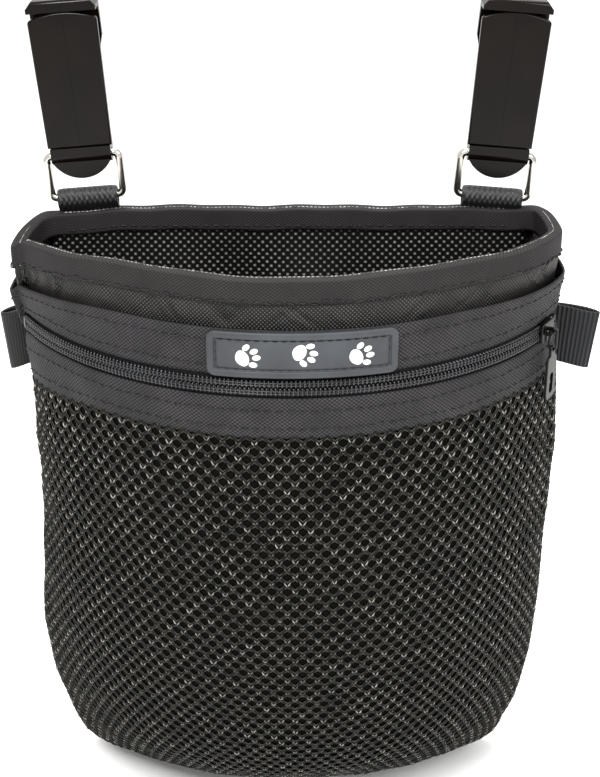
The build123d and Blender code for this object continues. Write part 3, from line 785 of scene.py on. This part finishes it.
def bandFace(top, bottom, seed):
    # a band lies flat and a little rippled; its free edges turn in slightly
    def face(across, path):
        t = (path - top) / (bottom - top)
        ripple = bands["ripple"] * (1 + waves(across, path, seed, 6, 1.6))
        edge = -bands["edgeIn"] * np.abs(2 * t - 1) ** 6
        return bandOut * seamRamp(across, 7) + (ripple + edge) * seamRamp(across, 10)
    return face


bandFaces = {}
for name, node, top, bottom, seed in (("upperBand", "upper_band", upperTop, upperEdge, 21),
                                      ("lowerBand", "lower_band", lowerEdge, lowerBottom, 22)):
    face = bandFaces[name] = bandFace(top, bottom, seed)
    outer, inner, uv = wholeFront(face, top, bottom, bands["rows"], bands["cols"], bands["thick"], 0.99)
    clothPiece(name, outer, inner, uv, "bandTwill", "band_tape", [node], "stretched", ["frontShell"])

# Zip tapes
zipTape = {"thick": 0.6, "wide": 13.5, "split": 0.5}
for name, node, sign in (("zipTapeUpper", "zip_tape_upper", -1), ("zipTapeLower", "zip_tape_lower", 1)):
    near = chainDrop + sign * zipTape["split"]
    top, bottom = sorted((near, near + sign * zipTape["wide"]))
    outer, inner, uv = wholeFront(lambda a, p: tapeOut * seamRamp(a, 7), top, bottom, 6, 240,
                                  zipTape["thick"], 0.985)
    clothPiece(name, outer, inner, uv, "zipKnit", "zip_tape", [node], "stretched", ["frontShell"])

# Zip coils: a flattened helix on each tape, with two lines of thread along it
print("coils")
coil = {"pitch": 1.6, "wire": 0.42, "in": 0.15, "out": 3.0, "low": 3.35, "high": 4.45, "steps": 10,
        "lean": 0.18, "threads": (1.15, 2.2), "threadUp": 0.28, "threadWave": 0.12, "threadRadius": 0.16}
coilEnd = math.acos((float(frontArcs[3]) - coilHigh.y / mm) / (frontRadius + coil["high"])) * frontRadius
turns = int(2 * coilEnd / coil["pitch"])
for name, node, sign, phase in (("coilUpper", "zip_coil_upper", -1, 0.0),
                                ("coilLower", "zip_coil_lower", 1, 0.5)):
    t = np.linspace(0, turns, turns * coil["steps"] + 1)
    angle = 2 * np.pi * t
    middle, half = (coil["in"] + coil["out"]) / 2, (coil["out"] - coil["in"]) / 2
    drop = chainDrop + sign * (middle + half * np.cos(angle))
    out = (coil["low"] + coil["high"]) / 2 + (coil["high"] - coil["low"]) / 2 * np.sin(angle)
    along = -coilEnd + (t + phase) * coil["pitch"] + coil["lean"] * coil["pitch"] * np.cos(angle)
    across = along / halfFront
    path = frontPoint(across, drop, out)[None]
    helix = makeTubes(name, path, frontOutward(across, drop, out)[None], coil["wire"], sides=5)
    s = np.linspace(-coilEnd, coilEnd, turns * 2)
    level = coil["high"] + coil["threadUp"] + coil["threadWave"] * np.cos(np.pi * np.arange(len(s)))
    lines = [frontPoint(s / halfFront, chainDrop + sign * at, level) for at in coil["threads"]]
    thread = makeTubes(name + "Thread", np.array(lines), frontOutward(s / halfFront, chainDrop, 4.0)[None],
                       coil["threadRadius"])
    settle(dress(helix, "nylonCoil"), "pouch", "zip_coil", node)
    settle(dress(thread, "nylonCoil"), "pouch", "zip_coil")

# Bottom stop: a clamped metal block across both coils at their left end
clamp = {"gap": 0.3, "wide": 2.0, "half": 3.0, "top": 4.9, "round": 0.35, "under": 3.0}
stopStart = -coilEnd - clamp["gap"]
across = np.linspace(stopStart - clamp["wide"], stopStart, 5)[None] / halfFront
path = np.linspace(chainDrop - clamp["half"], chainDrop + clamp["half"], 7)[:, None]
rounding = clamp["round"] * np.abs((path - chainDrop) / clamp["half"]) ** 4
stop = makeShell("zipBottomStop", frontPoint(across, path, clamp["top"] - rounding),
                 frontPoint(across, path, clamp["under"]))
settle(dress(stop, "blackZinc"), "pouch", "zip_metal", "zip_bottom_stop")

# Stitch rows
print("stitches")


stitch = {"pitch": 4.2, "dash": 3.0, "bead": 1.7, "beadDash": 1.25, "beadRadius": 0.2, "proud": 0.05,
          "hem": 7.5, "backHem": 6.0}
stitchRows = [  # name, drop below the rim, the face it lies on, seed and unevenness
    ("hemThread", stitch["hem"], lambda a, p: 1.05 * seamRamp(a, 6), 31, 0.35),
    ("upperBandThreadA", upperTop + 4.5, bandFaces["upperBand"], 32, 0.15),
    ("upperBandThreadB", upperTop + 14.5, bandFaces["upperBand"], 33, 0.15),
    ("lowerBandThreadA", lowerEdge + 5.2, bandFaces["lowerBand"], 34, 0.15),
    ("lowerBandThreadB", lowerBottom - 4.1, bandFaces["lowerBand"], 35, 0.15),
]
for name, drop, out, seed, wander in stitchRows:
    row = frontStitches(name, drop, out, stitch["pitch"], stitch["dash"], seed, wander)
    settle(row, "pouch", "band_tape")


def stitchLine(name, points, outward, pitch, dash, radius=0.27, finish="sewingThread"):
    # stitches along a line of points: each takes dash of every pitch mm
    length = arcLengths(points)
    starts = np.arange(pitch / 2, length[-1] - dash, pitch)
    at = starts[:, None] + np.linspace(0, dash, 6)
    path = np.stack([np.interp(at, length, points[:, k]) for k in range(3)], -1)
    out = np.broadcast_to(np.asarray(outward, float), path.shape)
    return settle(makeThread(name, path, out, radius, finish), "pouch", "binding_tape")


# overcast edge: beads of thread along the fold of the rim, in front and at the back; their light colour is a
# painted highlight on the fold
frontTurn, backTurn = np.linspace(0.02, 0.98, 500), np.linspace(1.03, 1.97, 400)
for name, turn, inset in (("rimEdgeFront", frontTurn, 2.6), ("rimEdgeBack", backTurn, 5.2)):
    beads = ringPoint(turn, inset, rim + tape["round"] + rimLift(turn))
    stitchLine(name, beads, (0, 0, 1), stitch["bead"], stitch["beadDash"], stitch["beadRadius"], "edgeThreadHighlight")
# the hem's stitch row on both faces of the back rim
for name, inset, face in (("backHemThread", tape["backIn"] + stitch["proud"], -1),
                          ("backRimThread", -stitch["proud"], 1)):
    stitchLine(name, ringPoint(backTurn, inset, rim - stitch["backHem"]), (0, face, 0), stitch["pitch"],
               stitch["dash"])

# boxes of stitches through the hip panel that hold the webbing tails
tailBox = {"wide": 21.0, "tall": 20.0, "drop": 17.0, "pitch": 3.4, "dash": 2.5}
boxLine = np.array([(-1, -1), (1, -1), (1, 1), (-1, 1), (-1, -1), (1, 1), (1, -1), (-1, 1)]) * 0.5
for side, name in ((-1, "left"), (1, "right")):
    middleX = side * abs(jointAt[name + "_ring_swing"]["pos_m"][0]) / mm
    corners = np.array([middleX, tailBox["drop"]]) + boxLine * np.array([tailBox["wide"], -tailBox["tall"]])
    t = np.linspace(0, len(corners) - 1, 240)
    x, drop = (np.interp(t, np.arange(len(corners)), corners[:, k]) for k in (0, 1))
    y = backFace(x, drop, x / backHalf(drop)) - backSway(x, drop)[1] + stitch["proud"]
    stitchLine(name + "TailBox", np.stack([x, y, rim - drop], -1), (0, 1, 0), tailBox["pitch"],
               tailBox["dash"])

# Mesh pocket: a dark spacer layer with a knitted net over it
print("mesh")
net = {"across": 5.9, "down": 6.8, "yarn": 0.2, "pair": 0.74, "core": 0.7, "out": 3.9, "backOut": 3.0,
       "thick": 0.8, "steps": 8, "join": 0.2, "loop": 0.2, "top": 1.0, "belly": 0.8, "seam": 0.985,
       "knot": (0.5, 1.1)}


def meshBase(across, path):
    # the pocket lies off the cloth, bellies a little, and is drawn into the seams
    belly = net["belly"] * smoothStep(path, lowerBottom, lowerBottom + 40)
    belly = belly * (1 + waves(across, path, 9, 4, 0.8))
    return belly * seamRamp(across, 30)


meshTop, meshEnd = lowerBottom - 2.0, wholePath - 1.0
outer, inner, uv = wholeFront(lambda a, p: net["backOut"] * seamRamp(a, 7) + meshBase(a, p), meshTop, meshEnd,
                              90, 180, net["thick"], 0.99)
meshPanel = settle(dress(makeShell("meshPanel", outer, inner, uv), "spacerKnit"), "pouch", "air_mesh",
                   "mesh_panel")
wales = np.arange(-halfFront * net["seam"], halfFront * net["seam"], net["across"] / 2)
netTop = meshTop + net["top"]
periods = int((meshEnd - meshTop) / net["down"])
steps = periods * net["steps"] + 1
down = np.linspace(netTop, netTop + periods * net["down"], steps)
cycle = 2 * np.pi * np.arange(steps) / net["steps"]
zigzag = np.clip(np.cos(cycle) / (1 - net["join"]), -1, 1)  # flat where two wales are knitted together
sign = np.where(np.arange(len(wales)) % 2 == 0, 1.0, -1.0)[:, None]


def netLayer(name, paths, radius, finish, sides=4):
    # tubes that face away from a line well behind the front
    outward = paths * np.array([1, 1, 0]) - np.array([0, 20, 0])
    piece = dress(makeTubes(name, paths, outward, radius, sides), finish)
    settle(piece, "pouch", "air_mesh")


for half, keep in (("Left", wales < 0), ("Right", wales >= 0)):
    strands = []
    for offset in (-net["pair"], net["pair"]):
        swing = sign[keep] * zigzag[None] * (net["across"] / 4 - 0.15)
        across = (wales[keep][:, None] + swing + offset) / halfFront
        lift = net["out"] * seamRamp(across, 7) + meshBase(across, down[None]) - 0.12 * np.abs(zigzag)[None]
        strands.append(frontPoint(across, down[None], lift))
    netLayer("net" + half, np.concatenate(strands), net["yarn"], "netYarn", 3)
    middle = (strands[0] + strands[1])[:, ::2] / 2 + np.array([0, 0.25, 0])
    netLayer("netCore" + half, middle, net["core"], "netCore")

# Knot loops: a small V over each place where two wales meet, coloured light as a painted glint
rows = np.arange(periods * 2) * net["down"] / 2 + netTop
at, level = np.meshgrid(np.arange(len(wales) - 1), np.arange(len(rows)), indexing="ij")
meets = ((at + level) % 2 == 0) & (rows[level] > lowerBottom + 2)
x = ((wales[:-1] + wales[1:]) / 2)[at[meets]]
z = rows[level[meets]]
arms = []
knots = np.random.default_rng(77)
share = (z[:, None] - meshTop) / (meshEnd - meshTop)
# the loops are larger towards the top, so that their painted glints are brighter there
size = knots.uniform(*net["knot"], (len(x), 1)) * (1.2 - 0.4 * share)
for lean in (-1, 1):
    t = np.linspace(0, 1, 4)
    along = x[:, None] + lean * (0.2 + 0.95 * t * size) + knots.normal(0, 0.12, (len(x), 1))
    height = z[:, None] + 0.3 - 1.5 * t * size + knots.normal(0, 0.2, (len(x), 1))
    across = along / halfFront
    lift = (net["out"] + 0.3) * seamRamp(across, 7) + meshBase(across, height) + 0.25 * np.sin(np.pi * t)
    arms.append(frontPoint(across, height, lift))
thick = net["loop"] * np.concatenate([size, size]) * np.array([0.6, 1.2, 1.0, 0.5])
netLayer("netLoops", np.concatenate(arms), thick, "netLoopGlint")

# Label: raised border round a recessed panel
print("label")
label = {"wide": 68.0, "border": 2.6, "thick": 1.6, "raise": 0.7, "corner": 3.0, "gap": 0.2, "slope": 1.6,
         "stitches": 44, "groove": 0.7}
labelTop, labelBottom = rim - labelHigh.z / mm, rim - labelLow.z / mm
labelTall = labelBottom - labelTop
labelX = (labelHigh.x + labelLow.x) / 2 / mm
labelBack = bandOut + label["gap"]


def roundedLoop(wide, tall, corner, count):
    # a rounded oblong, evenly spaced by length from the middle of its right side
    x, y = wide / 2 - corner, tall / 2 - corner
    quarter = corner * math.pi / 2
    lengths = np.array([y, quarter, 2 * x, quarter, 2 * y, quarter, 2 * x, quarter, y])
    ends = np.concatenate([[0], np.cumsum(lengths)])
    s = np.linspace(0, ends[-1], count, endpoint=False)
    k = np.clip(np.searchsorted(ends, s, side="right") - 1, 0, 8)
    d = (s - ends[k]) / np.maximum(lengths[k], 1e-9)
    straight = {0: ((wide / 2, 0), (wide / 2, y)), 2: ((x, tall / 2), (-x, tall / 2)),
                4: ((-wide / 2, y), (-wide / 2, -y)), 6: ((-x, -tall / 2), (x, -tall / 2)),
                8: ((wide / 2, -y), (wide / 2, 0))}
    centres = {1: (x, y, 0), 3: (-x, y, 1), 5: (-x, -y, 2), 7: (x, -y, 3)}
    points = np.zeros((count, 2))
    for part, (a, b) in straight.items():
        m = k == part
        points[m] = np.array(a) + d[m, None] * (np.array(b) - np.array(a))
    for part, (cx, cy, quarterTurn) in centres.items():
        m = k == part
        angle = (d[m] + quarterTurn) * math.pi / 2
        points[m] = np.stack([cx + corner * np.cos(angle), cy + corner * np.sin(angle)], -1)
    return points


def onLabel(flatPoints, lift):
    # bends a flat drawing round the front: x along the arc, y up from the label's middle
    across = (labelX + flatPoints[..., 0]) / halfFront
    drop = (labelTop + labelBottom) / 2 - flatPoints[..., 1]
    return frontPoint(across, drop, labelBack + lift)


border, floor, top = label["border"], label["thick"], label["thick"] + label["raise"]
profile = [(0.0, 0.0), (0.0, top - 0.5), (0.15, top - 0.15), (0.5, top), (border - 0.5, top),
           (border - 0.12, top - 0.12), (border, top - 0.45), (border + 0.1, floor - 0.25),
           (border + 0.6, floor - 0.3), (border + 0.8, floor), (border + label["slope"], floor)]
loopsOut = []
for margin, lift in profile:
    corner = max(label["corner"] - margin, 0.5)
    loop = roundedLoop(label["wide"] - 2 * margin, labelTall - 2 * margin, corner, 220)
    loopsOut.append(onLabel(loop, lift))
innerEdge = 2 * (border + label["slope"])
innerLoop = roundedLoop(label["wide"] - innerEdge, labelTall - innerEdge, 0.5, 220)
for share in (0.7, 0.4, 0.15):
    squeezed = innerLoop * np.array([1, share])
    squeezed[:, 0] = innerLoop[:, 0] * (1 - 0.02 * (1 - share))
    loopsOut.append(onLabel(squeezed, floor))
grid = np.array(loopsOut)
rows, cols = grid.shape[:2]
faces = gridFaces(rows, cols, wrapCols=True).tolist()
last = (rows - 1) * cols
halfCount = cols // 2


def capFaces(first):
    # quads across a closed loop, from its middle left to its middle right, with a triangle at each end
    quads = [[first + k, first + k + 1, first + (cols - k - 1) % cols, first + (cols - k) % cols]
             for k in range(1, halfCount - 1)]
    return quads + [[first, first + 1, first + cols - 1],
                    [first + halfCount - 1, first + halfCount, first + halfCount + 1]]


faces += capFaces(last) + [face[::-1] for face in capFaces(0)]
labelPlate = makePiece("labelPlate", grid, faces, fix=True)
settle(dress(labelPlate, "labelRubber"), "pouch", "label_rubber", "label_plate")

# Stitches in the groove of the label
inset = 2 * (border + label["groove"])
groove = roundedLoop(label["wide"] - inset, labelTall - inset, 0.8, 900)
pitch = 900 // label["stitches"]
starts = np.arange(0, 900 - pitch, pitch)
pick = (starts[:, None] + np.linspace(0, pitch * 0.68, 6).astype(int)) % 900
paths = onLabel(groove[pick], floor - 0.2)
outward = onLabel(groove[pick], floor + 0.8) - paths
settle(makeThread("labelThread", paths, outward, 0.22), "pouch", "label_rubber")

# Motif: three paw prints, each one pad and four toes, domed
paw = {"pad": (3.2, 2.4), "toe": (1.05, 1.5), "rise": 0.45, "sunk": 0.2, "edge": 0.12,
       "places": [(-20, -0.9, -70), (0, 0.9, -110), (20, -0.9, -70)],
       "toes": [(-3.6, 1.4, 25), (-1.3, 3.5, 8), (1.3, 3.5, -8), (3.6, 1.4, -25)]}
rings, spokes = 6, 28
radial = np.sin(np.linspace(0, 1, rings) * np.pi / 2)[::-1]
turnAt = np.linspace(0, 2 * np.pi, spokes, endpoint=False)


def turned(x, y, degrees):
    # a drawing turned about its origin
    c, s = math.cos(math.radians(degrees)), math.sin(math.radians(degrees))
    return c * x - s * y, s * x + c * y


domes, faces = [], []
for px, py, turnBy in paw["places"]:
    for kind, (tx, ty, tilt) in [("pad", (0, -1.4, 0))] + [("toe", place) for place in paw["toes"]]:
        ex, ey = paw[kind][0] * np.cos(turnAt), paw[kind][1] * np.sin(turnAt)
        if kind == "pad":
            ey = np.where(ey < 0, ey * (1 - 0.25 * np.cos(turnAt) ** 2), ey)
        ox, oy = turned(ex, ey, tilt)
        lifts = [floor - paw["sunk"], floor + paw["edge"]]
        lifts += [floor + paw["rise"] * (1 - share**3) for share in radial[1:]]
        faces += gridFaces(rings + 1, spokes, wrapCols=True, first=len(domes) * spokes).tolist()
        faces.append(list(range(len(domes) * spokes, (len(domes) + 1) * spokes))[::-1])
        for share, lift in zip(np.append(radial[:1], radial), lifts):
            x, y = turned(tx + share * ox, ty + share * oy, turnBy)
            domes.append(onLabel(np.stack([px + x, py + y], -1), lift))
pawPrints = makePiece("pawPrints", np.array(domes), faces)
work = bmesh.new()
work.from_mesh(pawPrints.data)
bmesh.ops.remove_doubles(work, verts=work.verts, dist=1e-6)
bmesh.ops.recalc_face_normals(work, faces=work.faces)
work.to_mesh(pawPrints.data)
work.free()
settle(dress(pawPrints, "paleRubber"), "pouch", "motif_rubber", "label_motif")

# Side loops: ribbon folded on itself and sewn into the seam, drooping at its fold
print("ribbon loops")
ribbon = {"wide": 25.0, "thick": 1.1, "root": (5.2, 2.2), "reach": (17.5, 23.0), "half": (4.2, 3.0),
          "droop": 4.5, "lift": 5.0, "rib": 0.12, "ribPitch": 1.9, "flare": 0.08}  # pairs are left, right
for side, name, cloth in ((-1, "left", "smoothRibbon"), (1, "right", "grosgrain")):
    low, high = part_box(name + "_side_loop")
    root, reach, fatness = (ribbon[key][side > 0] for key in ("root", "reach", "half"))
    startX = min(abs(low.x), abs(high.x)) / mm - root
    middleY, middleZ = (low.y + high.y) / 2 / mm, (low.z + high.z) / 2 / mm + ribbon["lift"]
    t = np.linspace(0, 1, 61)
    # a flat teardrop in plan: both ends lie together at the seam and the fold opens out
    angle = (t - 0.5) * 2 * np.pi
    share = np.clip(0.5 + 0.5 * np.cos(angle), 0, 1)
    outY = fatness * np.sin(angle) * (0.25 + 0.75 * share)
    outY += 0.5 * np.sign(t - 0.5) * (1 - share**1.5)
    line = np.stack([reach * share**0.75, outY], -1)
    step = np.gradient(line, axis=0)
    step /= np.maximum(np.linalg.norm(step, axis=-1, keepdims=True), 1e-9)
    normal = np.stack([step[:, 1], -step[:, 0]], -1)
    along = arcLengths(line)
    up = np.linspace(ribbon["wide"] / 2, -ribbon["wide"] / 2, 30)[:, None]
    sheets = []
    for face in (1, -1):
        # only the right loop's ribs are coarse enough to stand up
        ribs = ribbon["rib"] * np.cos(along * 2 * np.pi / ribbon["ribPitch"]) * face * (side > 0)
        flatLine = line + normal * (face * ribbon["thick"] / 2 + ribs)[:, None]
        outX = flatLine[:, 0][None]
        x = side * (startX + outX - ribbon["flare"] * (ribbon["wide"] / 2 - up) * outX / 15)
        z = middleZ + up - ribbon["droop"] * np.clip(outX / reach, 0, 2) ** 1.3
        sheets.append(np.stack(np.broadcast_arrays(x, middleY + flatLine[:, 1][None], z), -1))
    piece = makeShell(name + "SideLoop", *sheets, uvOf(along[None], up))
    settle(dress(piece, cloth), "pouch", "ribbon", name + "_side_loop")

# Webbing loops round the rings' lower bars


def placed(points, jointName):
    # points about a ring set's joint, in mm: x along its bar, y backwards, z up
    joint = jointAt[jointName]
    x = np.array(joint["axis"], float)
    x /= np.linalg.norm(x)
    y = np.array([0.0, 1.0, 0.0])
    axes = np.stack([x, y, np.cross(x, y)])
    return np.array(joint["pos_m"]) / mm + points @ axes


print("webbing")
webbing = {"wide": 24.4, "thick": 1.8, "eye": 2.0, "tail": 30.0, "knot": (2.1, 3.3), "relief": 0.45,
           "neck": (1.6, 6.0)}
for name in ("left", "right"):
    middle = webbing["eye"] + webbing["thick"] / 2
    start = webbing["neck"][0]
    straight = np.linspace(-webbing["tail"], -start, 90)
    bend = np.linspace(0, math.pi, 60)[1:-1]
    neck = smoothStep(-straight, *webbing["neck"])  # the two layers close up under the bar
    closeUp = middle * (1 - neck) + webbing["thick"] / 2 * neck
    y = np.concatenate([-closeUp, -middle * np.cos(bend), closeUp[::-1]])
    z = np.concatenate([straight, -start + (middle + start) * np.sin(bend) ** 0.9, straight[::-1]])
    line = np.stack([y, z], -1)
    along = arcLengths(line)
    even = np.linspace(0, along[-1], 300)
    line = np.stack([np.interp(even, along, line[:, k]) for k in (0, 1)], -1)
    step = np.gradient(line, axis=0)
    step /= np.linalg.norm(step, axis=-1, keepdims=True)
    normal = np.stack([-step[:, 1], step[:, 0]], -1)
    x = np.linspace(-1, 1, 84)[None, :] * webbing["wide"] / 2
    s = even[:, None]
    # basket weave: staggered knots, from the product of two cosines
    acrossWave = np.cos(2 * np.pi * x / webbing["knot"][0])
    weave = 0.5 + 0.5 * acrossWave * np.cos(2 * np.pi * s / webbing["knot"][1])
    edge = 1 - (np.abs(x) / (webbing["wide"] / 2)) ** 14
    sheets = []
    for face in (1, -1):
        height = face * (webbing["thick"] / 2 + webbing["relief"] * (weave - 0.7)) * (0.35 + 0.65 * edge)
        yz = line[:, None] + normal[:, None] * height[..., None]
        flatPoints = np.stack(np.broadcast_arrays(x, yz[..., 0], yz[..., 1]), -1)
        sheets.append(placed(flatPoints, name + "_ring_swing"))
    piece = makeShell(name + "WebbingLoop", *sheets, uvOf(x, s))
    settle(dress(piece, "basketWebbing"), "pouch", "webbing", name + "_webbing_loop")

# Camera, floor and light
print("camera and light")
view = {"aim": (0.0041, -0.0359, 0.0688), "distance": 0.6138, "elevation": 25.0, "lens": 69.5, "sensor": 36.0}
aim = Vector(view["aim"])
raised = math.radians(view["elevation"])
camera = bpy.data.objects.new("camera", bpy.data.cameras.new("camera"))
camera.location = aim + view["distance"] * Vector((0, -math.cos(raised), math.sin(raised)))
camera.rotation_euler = (math.pi / 2 - raised, 0, 0)
camera.data.lens = view["lens"]
camera.data.sensor_width = view["sensor"]
bpy.context.scene.collection.objects.link(camera)
bpy.context.scene.camera = camera

# The carried-over nodes get their finishes
nodeFinish = {
    "zip_top_stops": "blackZinc", "zip_slider": "blackZinc", "zip_pull_link": "blackZinc",
    "zip_pull_tab": "blackZinc",
    "left_ring": "nickelPlate", "right_ring": "nickelPlate",
    "left_clip_frame": "mouldedAcetal", "right_clip_frame": "mouldedAcetal",
    "left_clip_gate": "mouldedAcetal", "right_clip_gate": "mouldedAcetal",
}
softened = {"left_clip_frame": 0.4, "right_clip_frame": 0.4, "left_clip_gate": 0.4, "right_clip_gate": 0.4,
            "zip_pull_tab": 0.12, "zip_slider": 0.12}  # edge radius of the mouldings, mm
for node, finish in nodeFinish.items():
    part = frame["nodes"][node]
    for slot in part.material_slots:
        slot.material = finishes[finish]
    if node in softened:
        weld = part.modifiers.new("weld", "WELD")
        weld.merge_threshold = 0.01 * mm
        soft = part.modifiers.new("softEdges", "BEVEL")
        soft.width, soft.segments, soft.limit_method = softened[node] * mm, 3, "ANGLE"
        soft.angle_limit, soft.harden_normals = math.radians(35), True

floorSize = 6.0
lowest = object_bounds()[0].z
corner = floorSize / 2 / mm
floorPoints = [(-corner, -corner, 0), (corner, -corner, 0), (corner, corner, 0), (-corner, corner, 0)]
floor = makePiece("floor", np.array(floorPoints) + np.array([0, 0, lowest / mm]), [[0, 1, 2, 3]])
paper, tree, principled = newMaterial("whitePaper", Roughness=0.9)
principled.inputs["Base Color"].default_value = linearColour("#f7f7f6")
floor.data.materials.append(paper)
floor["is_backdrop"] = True

world = bpy.data.worlds.new("softLight")
world.use_nodes = True
world.node_tree.nodes["Background"].inputs["Color"].default_value = (1, 1, 1, 1)
world.node_tree.nodes["Background"].inputs["Strength"].default_value = 1.0
bpy.context.scene.world = world
lamps = {
    "keyLamp": {"at": (-0.3, -0.85, 1.15), "size": 0.5, "power": 20},
    "fillLamp": {"at": (0.75, -0.8, 0.9), "size": 0.6, "power": 9},
    "topLamp": {"at": (0.1, 0.35, 1.3), "size": 0.5, "power": 14},
}
for name, lamp in lamps.items():
    data = bpy.data.lights.new(name, "AREA")
    data.energy = lamp["power"]
    data.size = lamp["size"]
    thing = bpy.data.objects.new(name, data)
    thing.location = lamp["at"]
    thing.rotation_euler = (aim - Vector(lamp["at"])).to_track_quat("-Z", "Y").to_euler()
    bpy.context.scene.collection.objects.link(thing)
bpy.context.scene.view_settings.view_transform = "Standard"

bpy.context.view_layer.update()
low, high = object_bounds()
print("done")
